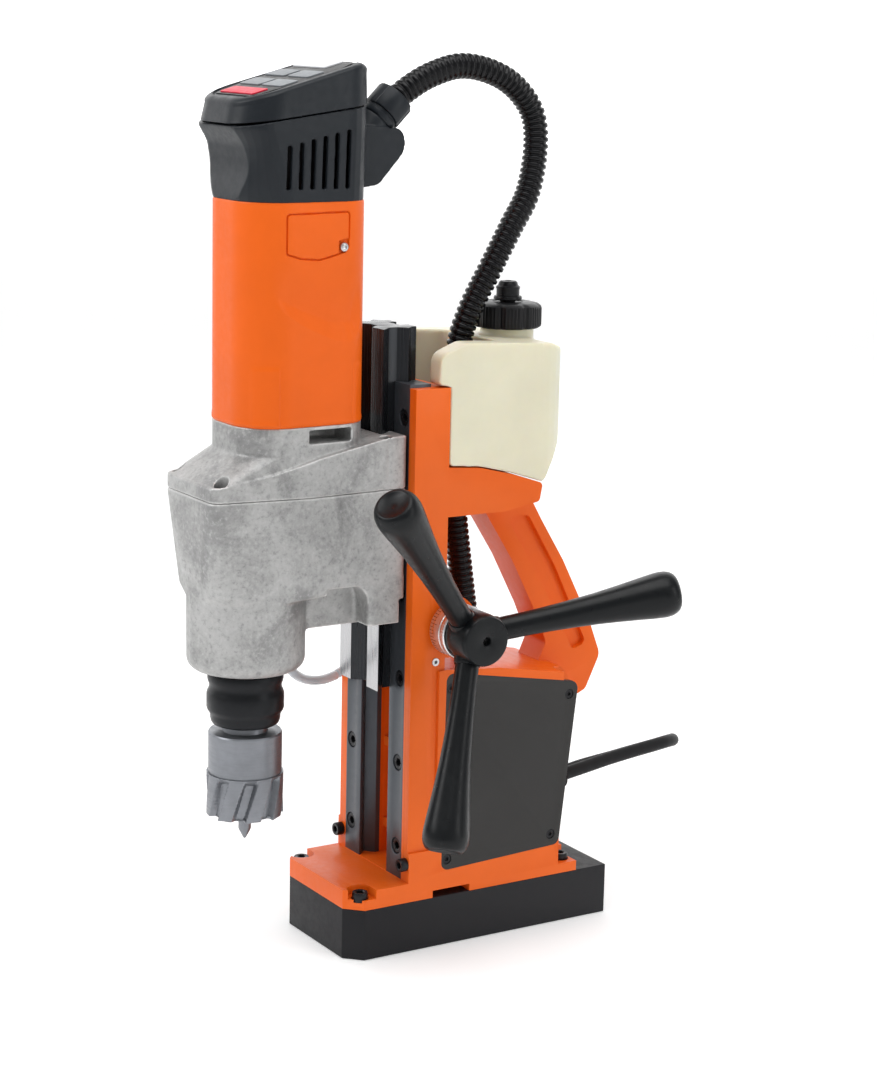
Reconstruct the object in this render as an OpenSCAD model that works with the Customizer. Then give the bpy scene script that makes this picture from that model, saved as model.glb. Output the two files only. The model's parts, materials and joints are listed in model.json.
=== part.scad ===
// Magnetic drill press: a drill unit on a dovetail slide, fed by a hand wheel down a magnet-footed stand.
// Frame: origin in the middle of the magnet's underside, Z up, -Y to the tool, +X to the hand wheel.

/* [Foot] */
// Width of the magnet foot
foot_w = 90; // [90:1:92]
// Length of the magnet foot
foot_l = 195; // [195:1:200]
// Height of the magnet
magnet_h = 33; // [33:1:34]
// Thickness of the base plate cast with the stand
plate_t = 12.3; // [12.3:0.1:13]

/* [Stand] */
// Width of the column
column_w = 86; // [86:0.5:88]
// Height of the column's top above the floor
column_top = 360; // [356:1:361]
// Width of the electronics box
box_w = 90; // [90:0.5:91]
// Width of the carrying handle
handle_w = 24; // [20:1:30]
// Thickness of the two side covers
cover_t = 3; // [2:0.2:3.2]

/* [Slide] */
// Depth of a guide rail
rail_depth = 15; // [15:0.1:15.2]
// Pitch of the rail screws
rail_pitch = 55; // [54:0.5:55]
// Lowest point of the carriage at rest
carriage_bottom = 167.5; // [166:0.5:170]
// Height of the carriage
carriage_h = 227.7; // [222:0.5:228]
// Module of the feed rack and pinion
rack_module = 1.5; // [1.5:0.1:1.5]
// Teeth on the feed pinion
pinion_teeth = 14; // [14:1:14]

/* [Hand wheel] */
// Height of the wheel's axis
wheel_z = 209.3; // [208:0.1:211]
// Radius from the axis to the middle of a grip's end
wheel_r = 127.6; // [120:0.5:130]
// Largest radius of a grip
grip_r = 14.5; // [13:0.1:15]

/* [Tool] */
// Outer radius of the annular cutter's teeth
cutter_r = 24; // [21:0.5:24]
// Radius of the gear case's nose
nose_r = 36.5; // [36:0.1:37]
// Outer radius of the chuck sleeve
sleeve_r = 24; // [22:0.5:25]

/* [Cords] */
// Outer diameter of the corrugated conduit
conduit_d = 16; // [15:0.5:16]
// Diameter of the mains cord
cord_d = 9; // [8:0.5:9]
// Diameter of the coolant hose
hose_d = 6; // [5:0.5:6]

/* [Hidden] */
$fn = 48;

orange = "#f0701c";
charcoal = "#34393f";
black = "#1c1c1e";
steel = "#a9adb0";
blue_steel = "#4d545c";
raw_cast = "#b3b3b0";
cream = "#ece6cc";
copper = "#b87333";

// Sides used for arcs in outlines, the corners of a rectangle in turn, and small general gaps
corner_steps = 6;
corner_signs = [[-1, -1], [1, -1], [1, 1], [-1, 1]];
eps = 0.01;
running_gap = 0.05;
body_gap = 0.3;
far = 800;

// Heights and planes shared by several parts
plate_z = magnet_h + plate_t;
column_front = -55.6;
column_rear = -31;
rail_back = column_front + rail_depth;
rail_in = 17.3;
rail_out = 35.5;
rail_bottom = 45.6;
rail_top = 362;
rail_screw_x = 28.7;
rail_screw_z = [for (i = [0:5]) 66 + i * rail_pitch];

// Feed pinion and rack
pinion_r = rack_module * pinion_teeth / 2;
wheel_y = -27.8;
rack_line = wheel_y - pinion_r;
tooth_depth = 2.2;
mesh_gap = 0.15;
shaft_r = 8;

// Drill unit axes: spindle, motor and two lay shafts
spindle_y = -148.7;
motor_y = -120.2;
lay_y = -92.2;
second_x = 6;
second_y = -119.05;
split_z = 298.6;
clamp_y = -64.5;
clamp_z = 262;

// Slope of the key panel
panel_slope = 15.6;
panel_origin = [0, -166, 532];

// Screws of the foot: x, y
base_screw_places = [[38.2, -87], [-38.2, -87], [35.5, 67], [-35.5, 67]];
base_seat_z = 37.6;
pocket_z = 39.5;
pocket_r = 8;
guard_x = 40.7;
guard_z = 57;

// Outlines seen from the side: y, z, corner radius
box_outline = [[-40, 40, 0], [-40, 181.5, 0], [-31, 182, 0], [9, 178.7, 0], [70.7, 167.7, 6],
    [76.5, 155.7, 5], [69.2, 107.3, 0], [60.8, 54.7, 3], [60.8, 40, 0]];
cover_outline = [[-30.5, 180.2, 5], [70.6, 162.2, 6], [58.6, 53.7, 5], [-31.5, 49.8, 5]];
box_cavity = [[-24, 172.6, 5], [64.5, 156.8, 6], [54, 59.5, 5], [-25.5, 56, 5]];
cover_screw_places = [[-26.8, 169.6], [63.6, 154.4], [52.2, 61.2], [-27.2, 57]];
shelf_outline = [[-40, 275, 0], [-40, 310.2, 0], [-31.8, 310.2, 0], [-8, 308.4, 30], [16, 302.6, 40],
    [39.2, 295.1, 3], [37, 283.6, 3], [12, 279.2, 0], [-31, 279.2, 0], [-31, 275, 0]];
handle_outline = [[8, 290, 0], [46, 288, 6], [60.4, 263.6, 40], [78.3, 235.3, 60], [92.1, 208.9, 60],
    [102.8, 187.8, 40], [110.4, 168.4, 9], [99.6, 145.4, 6], [70, 133, 0], [56, 158, 0],
    [66.7, 181.5, 5], [56.8, 204.1, 60], [38.2, 239.2, 60], [15.7, 274, 5], [8, 276, 0]];

// Tank: side outline y, z, r and plan outline x, y, r
tank_side = [[-30.6, 311.2, 3], [-30.6, 360.8, 2], [-39, 361.4, 3], [-38, 380, 8], [-20, 387, 10],
    [44, 383.6, 14], [64, 377, 10], [64, 330, 10], [50, 311, 8], [41, 297, 6], [39.4, 295.8, 0],
    [16, 303.2, 0], [-8, 309, 0]];
tank_plan = [[-43, -45, 0], [-30, -45, 3], [-29, 11, 8], [29, 11, 8], [30, -45, 3], [43, -45, 0],
    [43, 62, 26], [-43, 62, 26]];
tank_wall = 2.5;
neck_r = 17;
cap_r = 22;
cap_y = 37.2;
cap_z = 389.6;
cap_h = 14.6;
lobe_r = 3.4;
neck_top = 401;

// Plan outlines of the drill unit: x, y, r
case_plan = [[-32.7, -188, 7], [32.7, -188, 7], [40.5, -128, 60], [36.3, -57, 3], [-36.3, -57, 3],
    [-40.5, -128, 60]];
case_waist = [[-34, -184, 18], [34, -184, 18], [36.3, -57, 3], [-36.3, -57, 3]];
foot_of_case = [[-36.2, -83, 3], [36.2, -83, 3], [36.2, -57, 2], [-36.2, -57, 2]];
foot_fillet = 12;
case_cavity = [[-28, -173, 8], [28, -173, 8], [29, -73.5, 6], [-29, -73.5, 6]];
motor_plan = [[-37, -164.5, 27], [37, -164.5, 27], [33.5, -80, 22], [-33.5, -80, 22]];
motor_bore = [[-34, -161.5, 24], [34, -161.5, 24], [30.5, -83, 19], [-30.5, -83, 19]];
head_plan = [[-39.5, -175, 22], [39.5, -175, 22], [35.5, -81, 21], [-35.5, -81, 21]];
head_foot = [[-37, -164, 26], [37, -164, 26], [33.5, -81, 21], [-33.5, -81, 21]];
head_bore = [[-36.5, -172, 19], [36.5, -172, 19], [32.5, -84, 18], [-32.5, -84, 18]];
head_side = [[-163.8, 474, 0], [-164.6, 490, 40], [-175, 517.4, 0], [-81, 530.2, 0], [-81, 474, 0]];
head_hollow = [[-160.4, 470, 0], [-161.4, 490, 40], [-171, 516, 0], [-171, 545, 0], [-84, 545, 0],
    [-84, 470, 0]];
cap_side = [[-175, 517.8, 0], [-170.4, 531, 4], [-146, 536.5, 60], [-100, 555, 12], [-84, 553.5, 6],
    [-81, 530.6, 0]];
cap_hollow = [[-171, 512, 0], [-166, 527.5, 3], [-144, 533, 40], [-98, 550, 6], [-86, 549, 4],
    [-84, 520, 0]];
gusset_side = [[-84, 505, 0], [-84, 517.6, 0], [-49.8, 515.2, 7], [-46.6, 503, 12], [-66, 481.5, 8],
    [-84, 479, 0]];
collar_at = [0, -66, 515.8];
collar_tilt = -45;
collar_seat = 4.8;
collar_r = 12.6;

// Gear train: pitch radius and z range of each wheel
spindle_gear = [22, 255, 275];
second_wheel = [20, 285, 297];
second_pinion = [8.25, 254, 276];
first_wheel = [24, 306, 314];
first_pinion = [7.5, 284.5, 297.5];
motor_pinion = [4, 305.6, 314.4];
gear_tooth = 1.1;

// Bearings: x, y, z, height, bore radius, outer radius
bearing_places = [[0, spindle_y, 200, 12, 12.5, 22], [0, spindle_y, 299, 7, 8, 13],
    [second_x, second_y, 246, 6, 5, 9.5], [second_x, second_y, 298.8, 5.6, 5, 9.5],
    [0, lay_y, 262, 6, 5, 9.5], [0, lay_y, 317, 6, 5, 9.5],
    [0, motor_y, 324, 7, 4, 11], [0, motor_y, 460, 7, 4, 11]];

// Conduit, from the box's lid past the filler cap to the head: x, y, z
conduit_low_route = [[0, 15.6, 180], [0, 14.6, 186], [0, 12.6, 197], [0, 9.7, 213.1], [0, 5.5, 240],
    [0, 1.3, 269.9], [0, -0.6, 300], [1, -2, 340], [4, -1.4, 379], [8, 4, 403], [9.5, 17.1, 427.9]];
conduit_high_route = [[9.5, 17.3, 428.2], [10, 31.2, 453.1], [9, 44, 474.6], [7, 50.3, 502.2],
    [5, 48.6, 523.5], [3, 36.4, 539.7], [1.5, 18.5, 549.1], [0, -2.7, 552.2], [0, -24, 546.6],
    [0, -40, 538.2], [0, -50.5, 530.5]];

// Coolant hose, from the nose round to the tank's far side: x, y, z
hose_front_route = [[-24.5, -116, 196], [-27.5, -111, 190], [-30.5, -105, 180], [-36, -95, 168.5],
    [-43, -82, 161], [-47.5, -68, 158], [-50.8, -56, 158.9]];
hose_rear_route = [[-51.1, -54.4, 159.6], [-53.5, -43.5, 165], [-54.5, -33, 184], [-54, -24, 212],
    [-52.5, -16, 244], [-50.5, -8, 276], [-48.6, -2, 300], [-46.4, 1, 315], [-43, 2, 320]];

// Mains cord, from the gland to the coil on the floor: x, y, z
cord_route = [[0, 92, 83.6], [0, 110, 86.2], [-0.5, 130, 89], [-0.5, 150, 91.4], [-1, 170, 93.2],
    [-3.3, 181, 93.4], [-9.2, 190.5, 91.6], [-18, 196.8, 88.4], [-28, 199.3, 84], [-38, 197.3, 79.3],
    [-46.6, 191.2, 75], [-52.2, 182, 71.6], [-54, 171, 69.6], [-54, 155, 68.2], [-54, 140, 66.5],
    [-54, 128, 64], [-54.5, 116, 59.4], [-55, 104, 51], [-55, 92, 40], [-55, 80, 29],
    [-55.5, 68, 18.8], [-57.5, 55, 10.6], [-62.5, 42, 6], [-74, 28, 4.5], [-92.5, 19, 4.5],
    [-112, 16.4, 4.5], [-130, 18.2, 4.5], [-146.7, 21.7, 4.5]];
coil_x = -130;
coil_y = 84;
coil_mean_r = 55.5;
coil_wide = 3;
coil_high = 4;
cord_z = 81;
gland_y = 62;

// ---------- helpers ----------

function unit(v) = v / norm(v);

// Arc that rounds corner p1 of an outline by the radius in its third place
function corner(p0, p1, p2) =
    let (
        a = unit([p0.x - p1.x, p0.y - p1.y]),
        b = unit([p2.x - p1.x, p2.y - p1.y]),
        half = acos(max(-1, min(1, a * b))) / 2,
        reach = p1[2] / tan(half),
        centre = [p1.x, p1.y] + unit(a + b) * p1[2] / sin(half),
        from = [p1.x, p1.y] + a * reach - centre,
        to = [p1.x, p1.y] + b * reach - centre,
        start = atan2(from.y, from.x),
        turn = atan2(to.y, to.x) - start,
        sweep = turn > 180 ? turn - 360 : turn < -180 ? turn + 360 : turn
    )
    [for (i = [0:corner_steps]) let (t = start + sweep * i / corner_steps) centre + p1[2] * [cos(t), sin(t)]];

// Outline with each corner rounded by its own radius
function rounded(pts) = let (n = len(pts))
    [for (i = [0:n - 1]) each pts[i][2] == 0 ? [[pts[i].x, pts[i].y]]
        : corner(pts[(i + n - 1) % n], pts[i], pts[(i + 1) % n])];

// Point on the smooth curve through pts, at t from 0 to 1
function on_curve(pts, t) =
    let (
        n = len(pts) - 1,
        s = min(t * n, n - 0.0001),
        i = floor(s),
        u = s - i,
        p0 = pts[max(i - 1, 0)],
        p1 = pts[i],
        p2 = pts[i + 1],
        p3 = pts[min(i + 2, n)]
    )
    0.5 * (2 * p1 + (p2 - p0) * u + (2 * p0 - 5 * p1 + 4 * p2 - p3) * u * u
        + (3 * p1 - p0 - 3 * p2 + p3) * u * u * u);

function tangent(pts, t) = unit(on_curve(pts, min(t + 0.004, 1)) - on_curve(pts, max(t - 0.004, 0)));

// Round tube swept along pts; side is a direction that the route never follows
module swept_tube(pts, d, rings, sides, side) {
    ring_points = [for (i = [0:rings - 1])
        let (t = i / (rings - 1), c = on_curve(pts, t), f = tangent(pts, t))
        let (u = unit(cross(side, f)), v = cross(f, u))
        for (j = [0:sides - 1]) c + d / 2 * (u * cos(360 * j / sides) + v * sin(360 * j / sides))];
    walls = [for (i = [0:rings - 2]) for (j = [0:sides - 1])
        let (k = (j + 1) % sides) [i * sides + k, i * sides + j, (i + 1) * sides + j, (i + 1) * sides + k]];
    first_end = [for (j = [0:sides - 1]) j];
    last_end = [for (j = [sides - 1:-1:0]) (rings - 1) * sides + j];
    polyhedron(points = ring_points, faces = concat(walls, [first_end, last_end]), convexity = 6);
}

module along_x(width) rotate([90, 0, 90]) linear_extrude(height = width, center = true) children();
module x_rod(r, x0, x1, y, z) translate([x0, y, z]) rotate([0, 90, 0]) cylinder(r = r, h = x1 - x0);
module y_rod(r, y0, y1, x, z) translate([x, y0, z]) rotate([-90, 0, 0]) cylinder(r = r, h = y1 - y0);
module z_rod(r, z0, z1, x, y) translate([x, y, z0]) cylinder(r = r, h = z1 - z0);
module block(x, y, z) translate([x[0], y[0], z[0]]) cube([x[1] - x[0], y[1] - y[0], z[1] - z[0]]);
module mirrored() {
    children();
    mirror([1, 0, 0]) children();
}

// Socket head cap screw: head above z = 0, shank below
module cap_screw(shank_r, head_r, head_h, shank_l, key_r) {
    difference() {
        union() {
            cylinder(r = head_r, h = head_h);
            translate([0, 0, -shank_l]) cylinder(r = shank_r, h = shank_l + eps);
        }
        translate([0, 0, head_h * 0.45]) cylinder(r = key_r, h = head_h, $fn = 6);
    }
}

// Toothed wheel blank whose tips stay clear of its mate
module toothed(pitch_r, z0, z1, teeth) {
    tip = pitch_r - mesh_gap;
    root = tip - gear_tooth;
    outline = [for (i = [0:teeth - 1]) for (k = [0:3])
        let (a = 360 * (i + [0, 0.3, 0.5, 0.8][k]) / teeth, r = k < 2 ? tip : root) r * [cos(a), sin(a)]];
    translate([0, 0, z0]) linear_extrude(height = z1 - z0) polygon(outline);
}

// ---------- foot ----------

module foot_plan(length_rear) {
    half_w = foot_w / 2;
    front = -foot_l / 2;
    chamfer = 10.4;
    polygon([[-half_w, front + chamfer], [-half_w + chamfer, front], [half_w - chamfer, front],
        [half_w, front + chamfer], [half_w, length_rear], [-half_w, length_rear]]);
}

module coil_slot(z0, z1, gap) {
    outer = [29 - gap, 82 - gap];
    inner = [15 + gap, 68 + gap];
    slot_r = 14;
    translate([0, 0, z0]) linear_extrude(height = z1 - z0) difference() {
        polygon(rounded([for (s = corner_signs) [s.x * outer.x, s.y * outer.y, slot_r]]));
        polygon(rounded([for (s = corner_signs) [s.x * inner.x, s.y * inner.y, slot_r / 2]]));
    }
}

potting_top = 7;
slot_top = 26;
potting_lift = 0.4;

module magnet_body() color(black) difference() {
    linear_extrude(height = magnet_h) foot_plan(foot_l / 2);
    coil_slot(-1, slot_top, 0);
    for (p = base_screw_places) z_rod(3, magnet_h - 14, magnet_h + 1, p.x, p.y);
    z_rod(4, slot_top - 1, magnet_h + 1, 22, -20);
}

module magnet_coil() color(copper) coil_slot(potting_top, slot_top, 0);

module magnet_potting() color(black) coil_slot(potting_lift, potting_top, 0);

// ---------- stand ----------

// Pocket round a foot screw: it opens to the side, and at the back to the rear as well
module corner_pocket(p) {
    side = sign(p.x);
    inner_x = p.x - side * pocket_r;
    outer_x = p.x + side * 30;
    front_y = p.y - pocket_r;
    rear_y = p.y > 0 ? p.y + 30 : p.y + pocket_r;
    translate([0, 0, pocket_z]) linear_extrude(height = far) polygon(rounded([[inner_x, front_y, pocket_r - 1],
        [outer_x, front_y, 0], [outer_x, rear_y, 0], [inner_x, rear_y, p.y > 0 ? 0 : pocket_r - 1]]));
    z_rod(5.6, base_seat_z, far, p.x, p.y);
    z_rod(3.3, 0, far, p.x, p.y);
}

module stand_casting() color(orange) {
    difference() {
        union() {
            difference() {
                translate([0, 0, magnet_h]) linear_extrude(height = plate_t) foot_plan(73.6);
                for (p = base_screw_places) corner_pocket(p);
                block([30, 60], [-37.4, -9.7], [magnet_h - 1, 37.7]);
            }
            along_x(column_w) polygon([[column_front, plate_z - 1], [column_front, column_top],
                [column_rear, column_top], [column_rear, plate_z - 1]]);
            mirrored() block([37, foot_w / 2], [column_front, -38], [plate_z - 1, 65]);
            difference() {
                along_x(box_w) polygon(rounded(box_outline));
                for (p = base_screw_places) corner_pocket(p);
                mirrored() block([column_w / 2, far], [-60, -36], [66, far]);
            }
            along_x(column_w) polygon(rounded(shelf_outline));
            along_x(handle_w) polygon(rounded(handle_outline));
            x_rod(20, -column_w / 2, column_w / 2, wheel_y, wheel_z);
        }
        // seats of the two rails, and the channel behind the carriage with its ribs
        mirrored() block([rail_in - 1, rail_out], [-60, rail_back], [rail_bottom, far]);
        difference() {
            block([-rail_in, rail_in], [-60, -34.2], [rail_bottom, far]);
            for (z = rail_screw_z) if (z < 150) block([-rail_in - 1, rail_in + 1], [-38, -30], [z - 3, z + 3]);
        }
        // pinion chamber and shaft bore
        x_rod(13, -rail_in - 1.2, rail_in + 1.2, wheel_y, wheel_z);
        x_rod(11, -far, far, wheel_y, wheel_z);
        x_rod(2.5, column_w / 2 - 6, far, -37.9, 187.6);
        // rail screws
        mirrored() for (z = rail_screw_z) y_rod(2.6, rail_back - 1, -32.5, rail_screw_x, z);
        // box: cover seats, cavity, cord and conduit holes
        mirrored() translate([box_w / 2, 0, 0]) along_x(2 * cover_t) polygon(rounded(cover_outline));
        difference() {
            along_x(box_w) polygon(rounded(box_cavity));
            for (p = cover_screw_places) x_rod(5, -far, far, p.x, p.y);
        }
        for (p = cover_screw_places) mirrored() x_rod(1.6, 30, far, p.x, p.y);
        y_rod(9.05, 50, 80, 0, cord_z);
        z_rod(10, 160, 200, 0, 15.6);
        // conduit passage through the shelf
        z_rod(10.5, 270, 330, 0, -0.6);
        // guard screws in the lower pads
        mirrored() y_rod(2.05, column_front - 1, -42, guard_x, guard_z);
        // side pockets of the handle
        mirrored() translate([handle_w / 2, 0, 0]) along_x(8) polygon(rounded([[33, 268, 4], [50, 268, 5],
            [72, 232, 40], [99, 177, 4], [88, 174, 3], [62, 222, 40]]));
        z_rod(4, 20, 70, 22, -20);
    }
}

rail_v_depth = 5.7;

module guide_rail() color(blue_steel) difference() {
    translate([0, 0, rail_bottom]) linear_extrude(height = rail_top - rail_bottom) polygon([
        [rail_in, column_front], [rail_in, -54.4], [rail_in + rail_v_depth, -49.1], [rail_in, -43.8],
        [rail_in, rail_back], [rail_out, rail_back], [rail_out, column_front]]);
    for (z = rail_screw_z) {
        y_rod(3.3, -60, -30, rail_screw_x, z);
        y_rod(5.4, -60, column_front + 6.6, rail_screw_x, z);
    }
}

module guide_rail_right() guide_rail();
module guide_rail_left() mirror([1, 0, 0]) guide_rail();

module rail_screws() color(black) for (s = [-1, 1]) for (z = rail_screw_z)
    translate([s * rail_screw_x, column_front + 6.6, z]) rotate([90, 0, 0]) cap_screw(2.6, 5, 6, 14.5, 2.6);

module base_screws() color(black) for (p = base_screw_places)
    translate([p.x, p.y, base_seat_z]) cap_screw(3, 5, 6, 15, 2.6);

module guard_screws() color(black) mirrored()
    translate([guard_x, column_front, guard_z]) rotate([90, 0, 0]) cap_screw(2.05, 4.25, 5, 12, 2.3);

module side_cover(sx) color(charcoal) difference() {
    translate([sx * (box_w - cover_t) / 2, 0, 0]) along_x(cover_t) polygon(rounded(cover_outline));
    for (p = cover_screw_places) {
        x_rod(1.7, -far, far, p.x, p.y);
        translate([sx * (box_w / 2 - 1.5), 0, 0]) x_rod(3.3, -1.5 - eps, 1.5 + eps, p.x, p.y);
    }
}

module side_cover_right() side_cover(1);
module side_cover_left() side_cover(-1);

module side_cover_screws() color(black) for (sx = [-1, 1]) for (p = cover_screw_places)
    translate([sx * (box_w / 2 - 3), p.x, p.y]) rotate([0, sx * 90, 0]) cap_screw(1.6, 3.2, 2.4, 7, 1.4);

module control_board() color("#2f6b3c") {
    block([-35, 35], [24, 25.6], [70, 145]);
    block([-30, -8], [10, 24], [75, 100]);
    block([4, 30], [14, 24], [78, 120]);
    block([-28, 28], [16, 24], [124, 138]);
    block([-6, 6], [25.6, 53], [96, 102]);
}

module cord_gland() color(black) difference() {
    translate([0, gland_y, cord_z]) rotate([-90, 0, 0]) rotate_extrude() polygon([[0, -11], [12, -11],
        [12, -7.2], [9, -7.2], [9, 8], [8, 12], [6.2, 30.4], [0, 30.4]]);
    y_rod(cord_d / 2 + 0.1, gland_y + 6, far, 0, cord_z);
}

module power_cord() color(black) {
    lead = [[0, gland_y + 6, cord_z], [0, gland_y + 18, cord_z + 1.2]];
    swept_tube(concat(lead, cord_route), cord_d, 32, 10, [0, 0, 1]);
}

coil_tall = coil_high * cord_d;

module cord_coil() color(black) translate([coil_x, coil_y, 0]) rotate_extrude($fn = 72) {
    half = coil_wide * cord_d / 2;
    polygon([[coil_mean_r - half, 3], [coil_mean_r - half + 3, 0], [coil_mean_r + half - 3, 0],
        [coil_mean_r + half, 3], [coil_mean_r + half, coil_tall - 3], [coil_mean_r + half - 3, coil_tall],
        [coil_mean_r - half + 3, coil_tall], [coil_mean_r - half, coil_tall - 3]]);
}

plug_r = 17.5;

// Moulded two-pin plug lying across the top of the coil
module plug() color(black) translate([coil_x - coil_mean_r, coil_y - 6, coil_tall + plug_r])
    rotate([-90, 0, 0]) {
    rotate_extrude() polygon([[0, -34], [5.2, -34], [7.5, -8], [13, 0], [15, 8], [15, 12], [plug_r, 14],
        [plug_r, 30], [0, 30]]);
    mirrored() z_rod(2.4, 29, 49, 9.5, 0);
}

module pinion_bushes() color(copper) mirrored() difference() {
    union() {
        x_rod(11, rail_in + 2, column_w / 2, wheel_y, wheel_z);
        x_rod(14.5, column_w / 2, column_w / 2 + 2, wheel_y, wheel_z);
    }
    x_rod(shaft_r + running_gap, -far, far, wheel_y, wheel_z);
}

// Grub screw that pinches the near bush, seen on the column's side
module bush_set_screw() color(steel) difference() {
    x_rod(2.5, column_w / 2 - 6, column_w / 2 + 0.5, -37.9, 187.6);
    x_rod(1.3, column_w / 2 - 2, far, -37.9, 187.6, $fn = 6);
}

// ---------- tank ----------

module tank_shape(plan, side) intersection() {
    translate([0, 0, 280]) linear_extrude(height = 130) polygon(rounded(plan));
    along_x(column_w + 4) polygon(rounded(side));
}

module coolant_tank() color(cream) difference() {
    union() {
        tank_shape(tank_plan, tank_side);
        z_rod(neck_r, 380, neck_top, 0, cap_y);
    }
    block([-40, 40], [13.8, 40], [314, 379]);
    translate([0, 40, 314]) linear_extrude(height = 65)
        polygon(rounded([[-40, -1, 0], [40, -1, 0], [40, 19, 18], [-40, 19, 18]]));
    mirrored() block([32.4, 40], [-29, 14], [315, 376]);
    z_rod(neck_r - tank_wall, 370, far, 0, cap_y);
    x_rod(2.6, -45, -39, 2, 320);
}

module tank_cap() color(black) difference() {
    union() {
        z_rod(cap_r - 0.8, cap_z, cap_z + cap_h, 0, cap_y);
        for (i = [0:9]) let (reach = cap_r - lobe_r)
            z_rod(lobe_r, cap_z + 1.5, cap_z + cap_h - 2, reach * cos(36 * i), cap_y + reach * sin(36 * i));
        z_rod(12, cap_z + cap_h - eps, cap_z + cap_h + 1.8, 0, cap_y);
    }
    z_rod(neck_r + body_gap, cap_z - 1, neck_top + body_gap, 0, cap_y);
    z_rod(5, cap_z, far, 0, cap_y);
}

module cap_spout() color(black) translate([0, cap_y, 0]) difference() {
    union() {
        z_rod(4.9, 394, 407, 0, 0);
        z_rod(9, 406.4, 409, 0, 0);
        z_rod(7.5, 409 - eps, 415, 0, 0);
        z_rod(6, 415 - eps, 418.6, 0, 0);
    }
    z_rod(2, 390, 412.3, 0, 0);
}

// ---------- conduit and hose ----------

module conduit_gland() color(black) difference() {
    translate([0, 15.6, 167]) rotate_extrude()
        polygon([[0, 0], [9.8, 0], [9.8, 13.6], [12, 14], [12, 18], [10, 21], [0, 21]]);
    z_rod(conduit_d / 2 + 0.2, 172, 200, 0, 15.6);
    z_rod(6, 160, 200, 0, 15.6);
}

module conduit_lower() color(black) swept_tube(conduit_low_route, conduit_d, 18, 12, [1, 0, 0]);

module conduit_upper() color(black) swept_tube(conduit_high_route, conduit_d, 20, 12, [1, 0, 0]);

module coolant_hose_rear() color(steel) swept_tube(hose_rear_route, hose_d, 14, 8, [1, 0.3, 0]);

module coolant_hose_front() color(steel) swept_tube(hose_front_route, hose_d, 14, 8, [0, 0, 1]);

// ---------- carriage ----------

module carriage_slide() color(black) difference() {
    translate([0, 0, carriage_bottom]) linear_extrude(height = carriage_h) polygon([
        [-10, -68.2], [-4, -61], [4, -61], [10, -68.2], [24, -68.2], [17, -60.5], [17, -54.2],
        [22.3, -49.1], [16.9, -44.1], [16.9, -40.6], [-16.9, -40.6], [-16.9, -44.1],
        [-22.3, -49.1], [-17, -54.2], [-17, -60.5], [-24, -68.2]]);
    block([-7, 7], [-46.6, -30], [carriage_bottom - 1, carriage_bottom + carriage_h + 1]);
}

module feed_rack() color(steel) {
    pitch = PI * rack_module;
    low = wheel_z - 5 * pitch;
    teeth = 33;
    tip = rack_line - mesh_gap;
    profile = [for (i = [0:teeth - 1]) for (k = [0:3])
        [k == 0 || k == 3 ? tip - tooth_depth : tip, low + pitch * (i + [0.03, 0.27, 0.73, 0.97][k] + 0.5)]];
    along_x(13.8) polygon(concat([[-46.6, low]], [[tip - tooth_depth, low]], profile,
        [[tip - tooth_depth, low + pitch * (teeth + 0.6)], [-46.6, low + pitch * (teeth + 0.6)]]));
}

// ---------- drill unit ----------

nose_round = 8;

module case_outer() hull() {
    z_rod(nose_r, 234, 236, 0, spindle_y);
    translate([0, 0, split_z - 2]) linear_extrude(height = 2) polygon(rounded(case_plan));
    translate([0, 0, 240.5]) linear_extrude(height = 1) polygon(rounded(case_waist));
}

module gear_housing() color(raw_cast) difference() {
    union() {
        difference() {
            case_outer();
            block([-60, 60], [-112, -40], [200, 240]);
        }
        translate([0, spindle_y, 188]) rotate_extrude() polygon(concat([[0, 0]],
            [for (i = [0:6]) [nose_r - nose_round, nose_round] + nose_round * [sin(15 * i), -cos(15 * i)]],
            [[nose_r, 48], [0, 48]]));
        // web and rear foot that carries the dovetail
        block([-20, 20], [-118, -70], [212.7, 242]);
        difference() {
            translate([0, 0, 213.8]) linear_extrude(height = 30) polygon(rounded(foot_of_case));
            block([-60, 60], [-61, -50], [200, 229]);
        }
        // fillet where the foot meets the arch
        difference() {
            block([-35.8, 35.8], [-83 - foot_fillet, -82], [240.5 - foot_fillet, 241]);
            x_rod(foot_fillet, -far, far, -83 - foot_fillet, 240.5 - foot_fillet);
        }
    }
    // gear chamber and bores
    translate([0, 0, 254 - 10]) linear_extrude(height = 60) polygon(rounded(case_cavity));
    z_rod(22, 200, 212, 0, spindle_y);
    z_rod(20, 187, 201, 0, spindle_y);
    z_rod(14, 187, 250, 0, spindle_y);
    // dovetail socket
    translate([0, 0, 200]) linear_extrude(height = 110) polygon([[-24.4, -68.6], [24.4, -68.6],
        [17.4, -60.6], [17.4, -50], [-17.4, -50], [-17.4, -60.6]]);
    // clamp screw on the far side, cover screws, hose barb
    x_rod(4.05, -60, -20, clamp_y, clamp_z);
    for (p = cover_screws_at) z_rod(2.05, split_z - 14, split_z + 1, p.x, p.y);
    at_barb() y_rod(3.05, 30, 40, 0, 0);
}

cover_screws_at = [[28, -180, 303], [-28, -180, 303], [32.4, -70.5, 303], [-32.4, -70.5, 303]];

cover_side = [[-188, 298.6, 0], [-188, 307.6, 2], [-172, 309.5, 20], [-150, 314, 30], [-120, 322, 30],
    [-70, 331, 4], [-57, 331.6, 2], [-57, 298.6, 0]];

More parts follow.
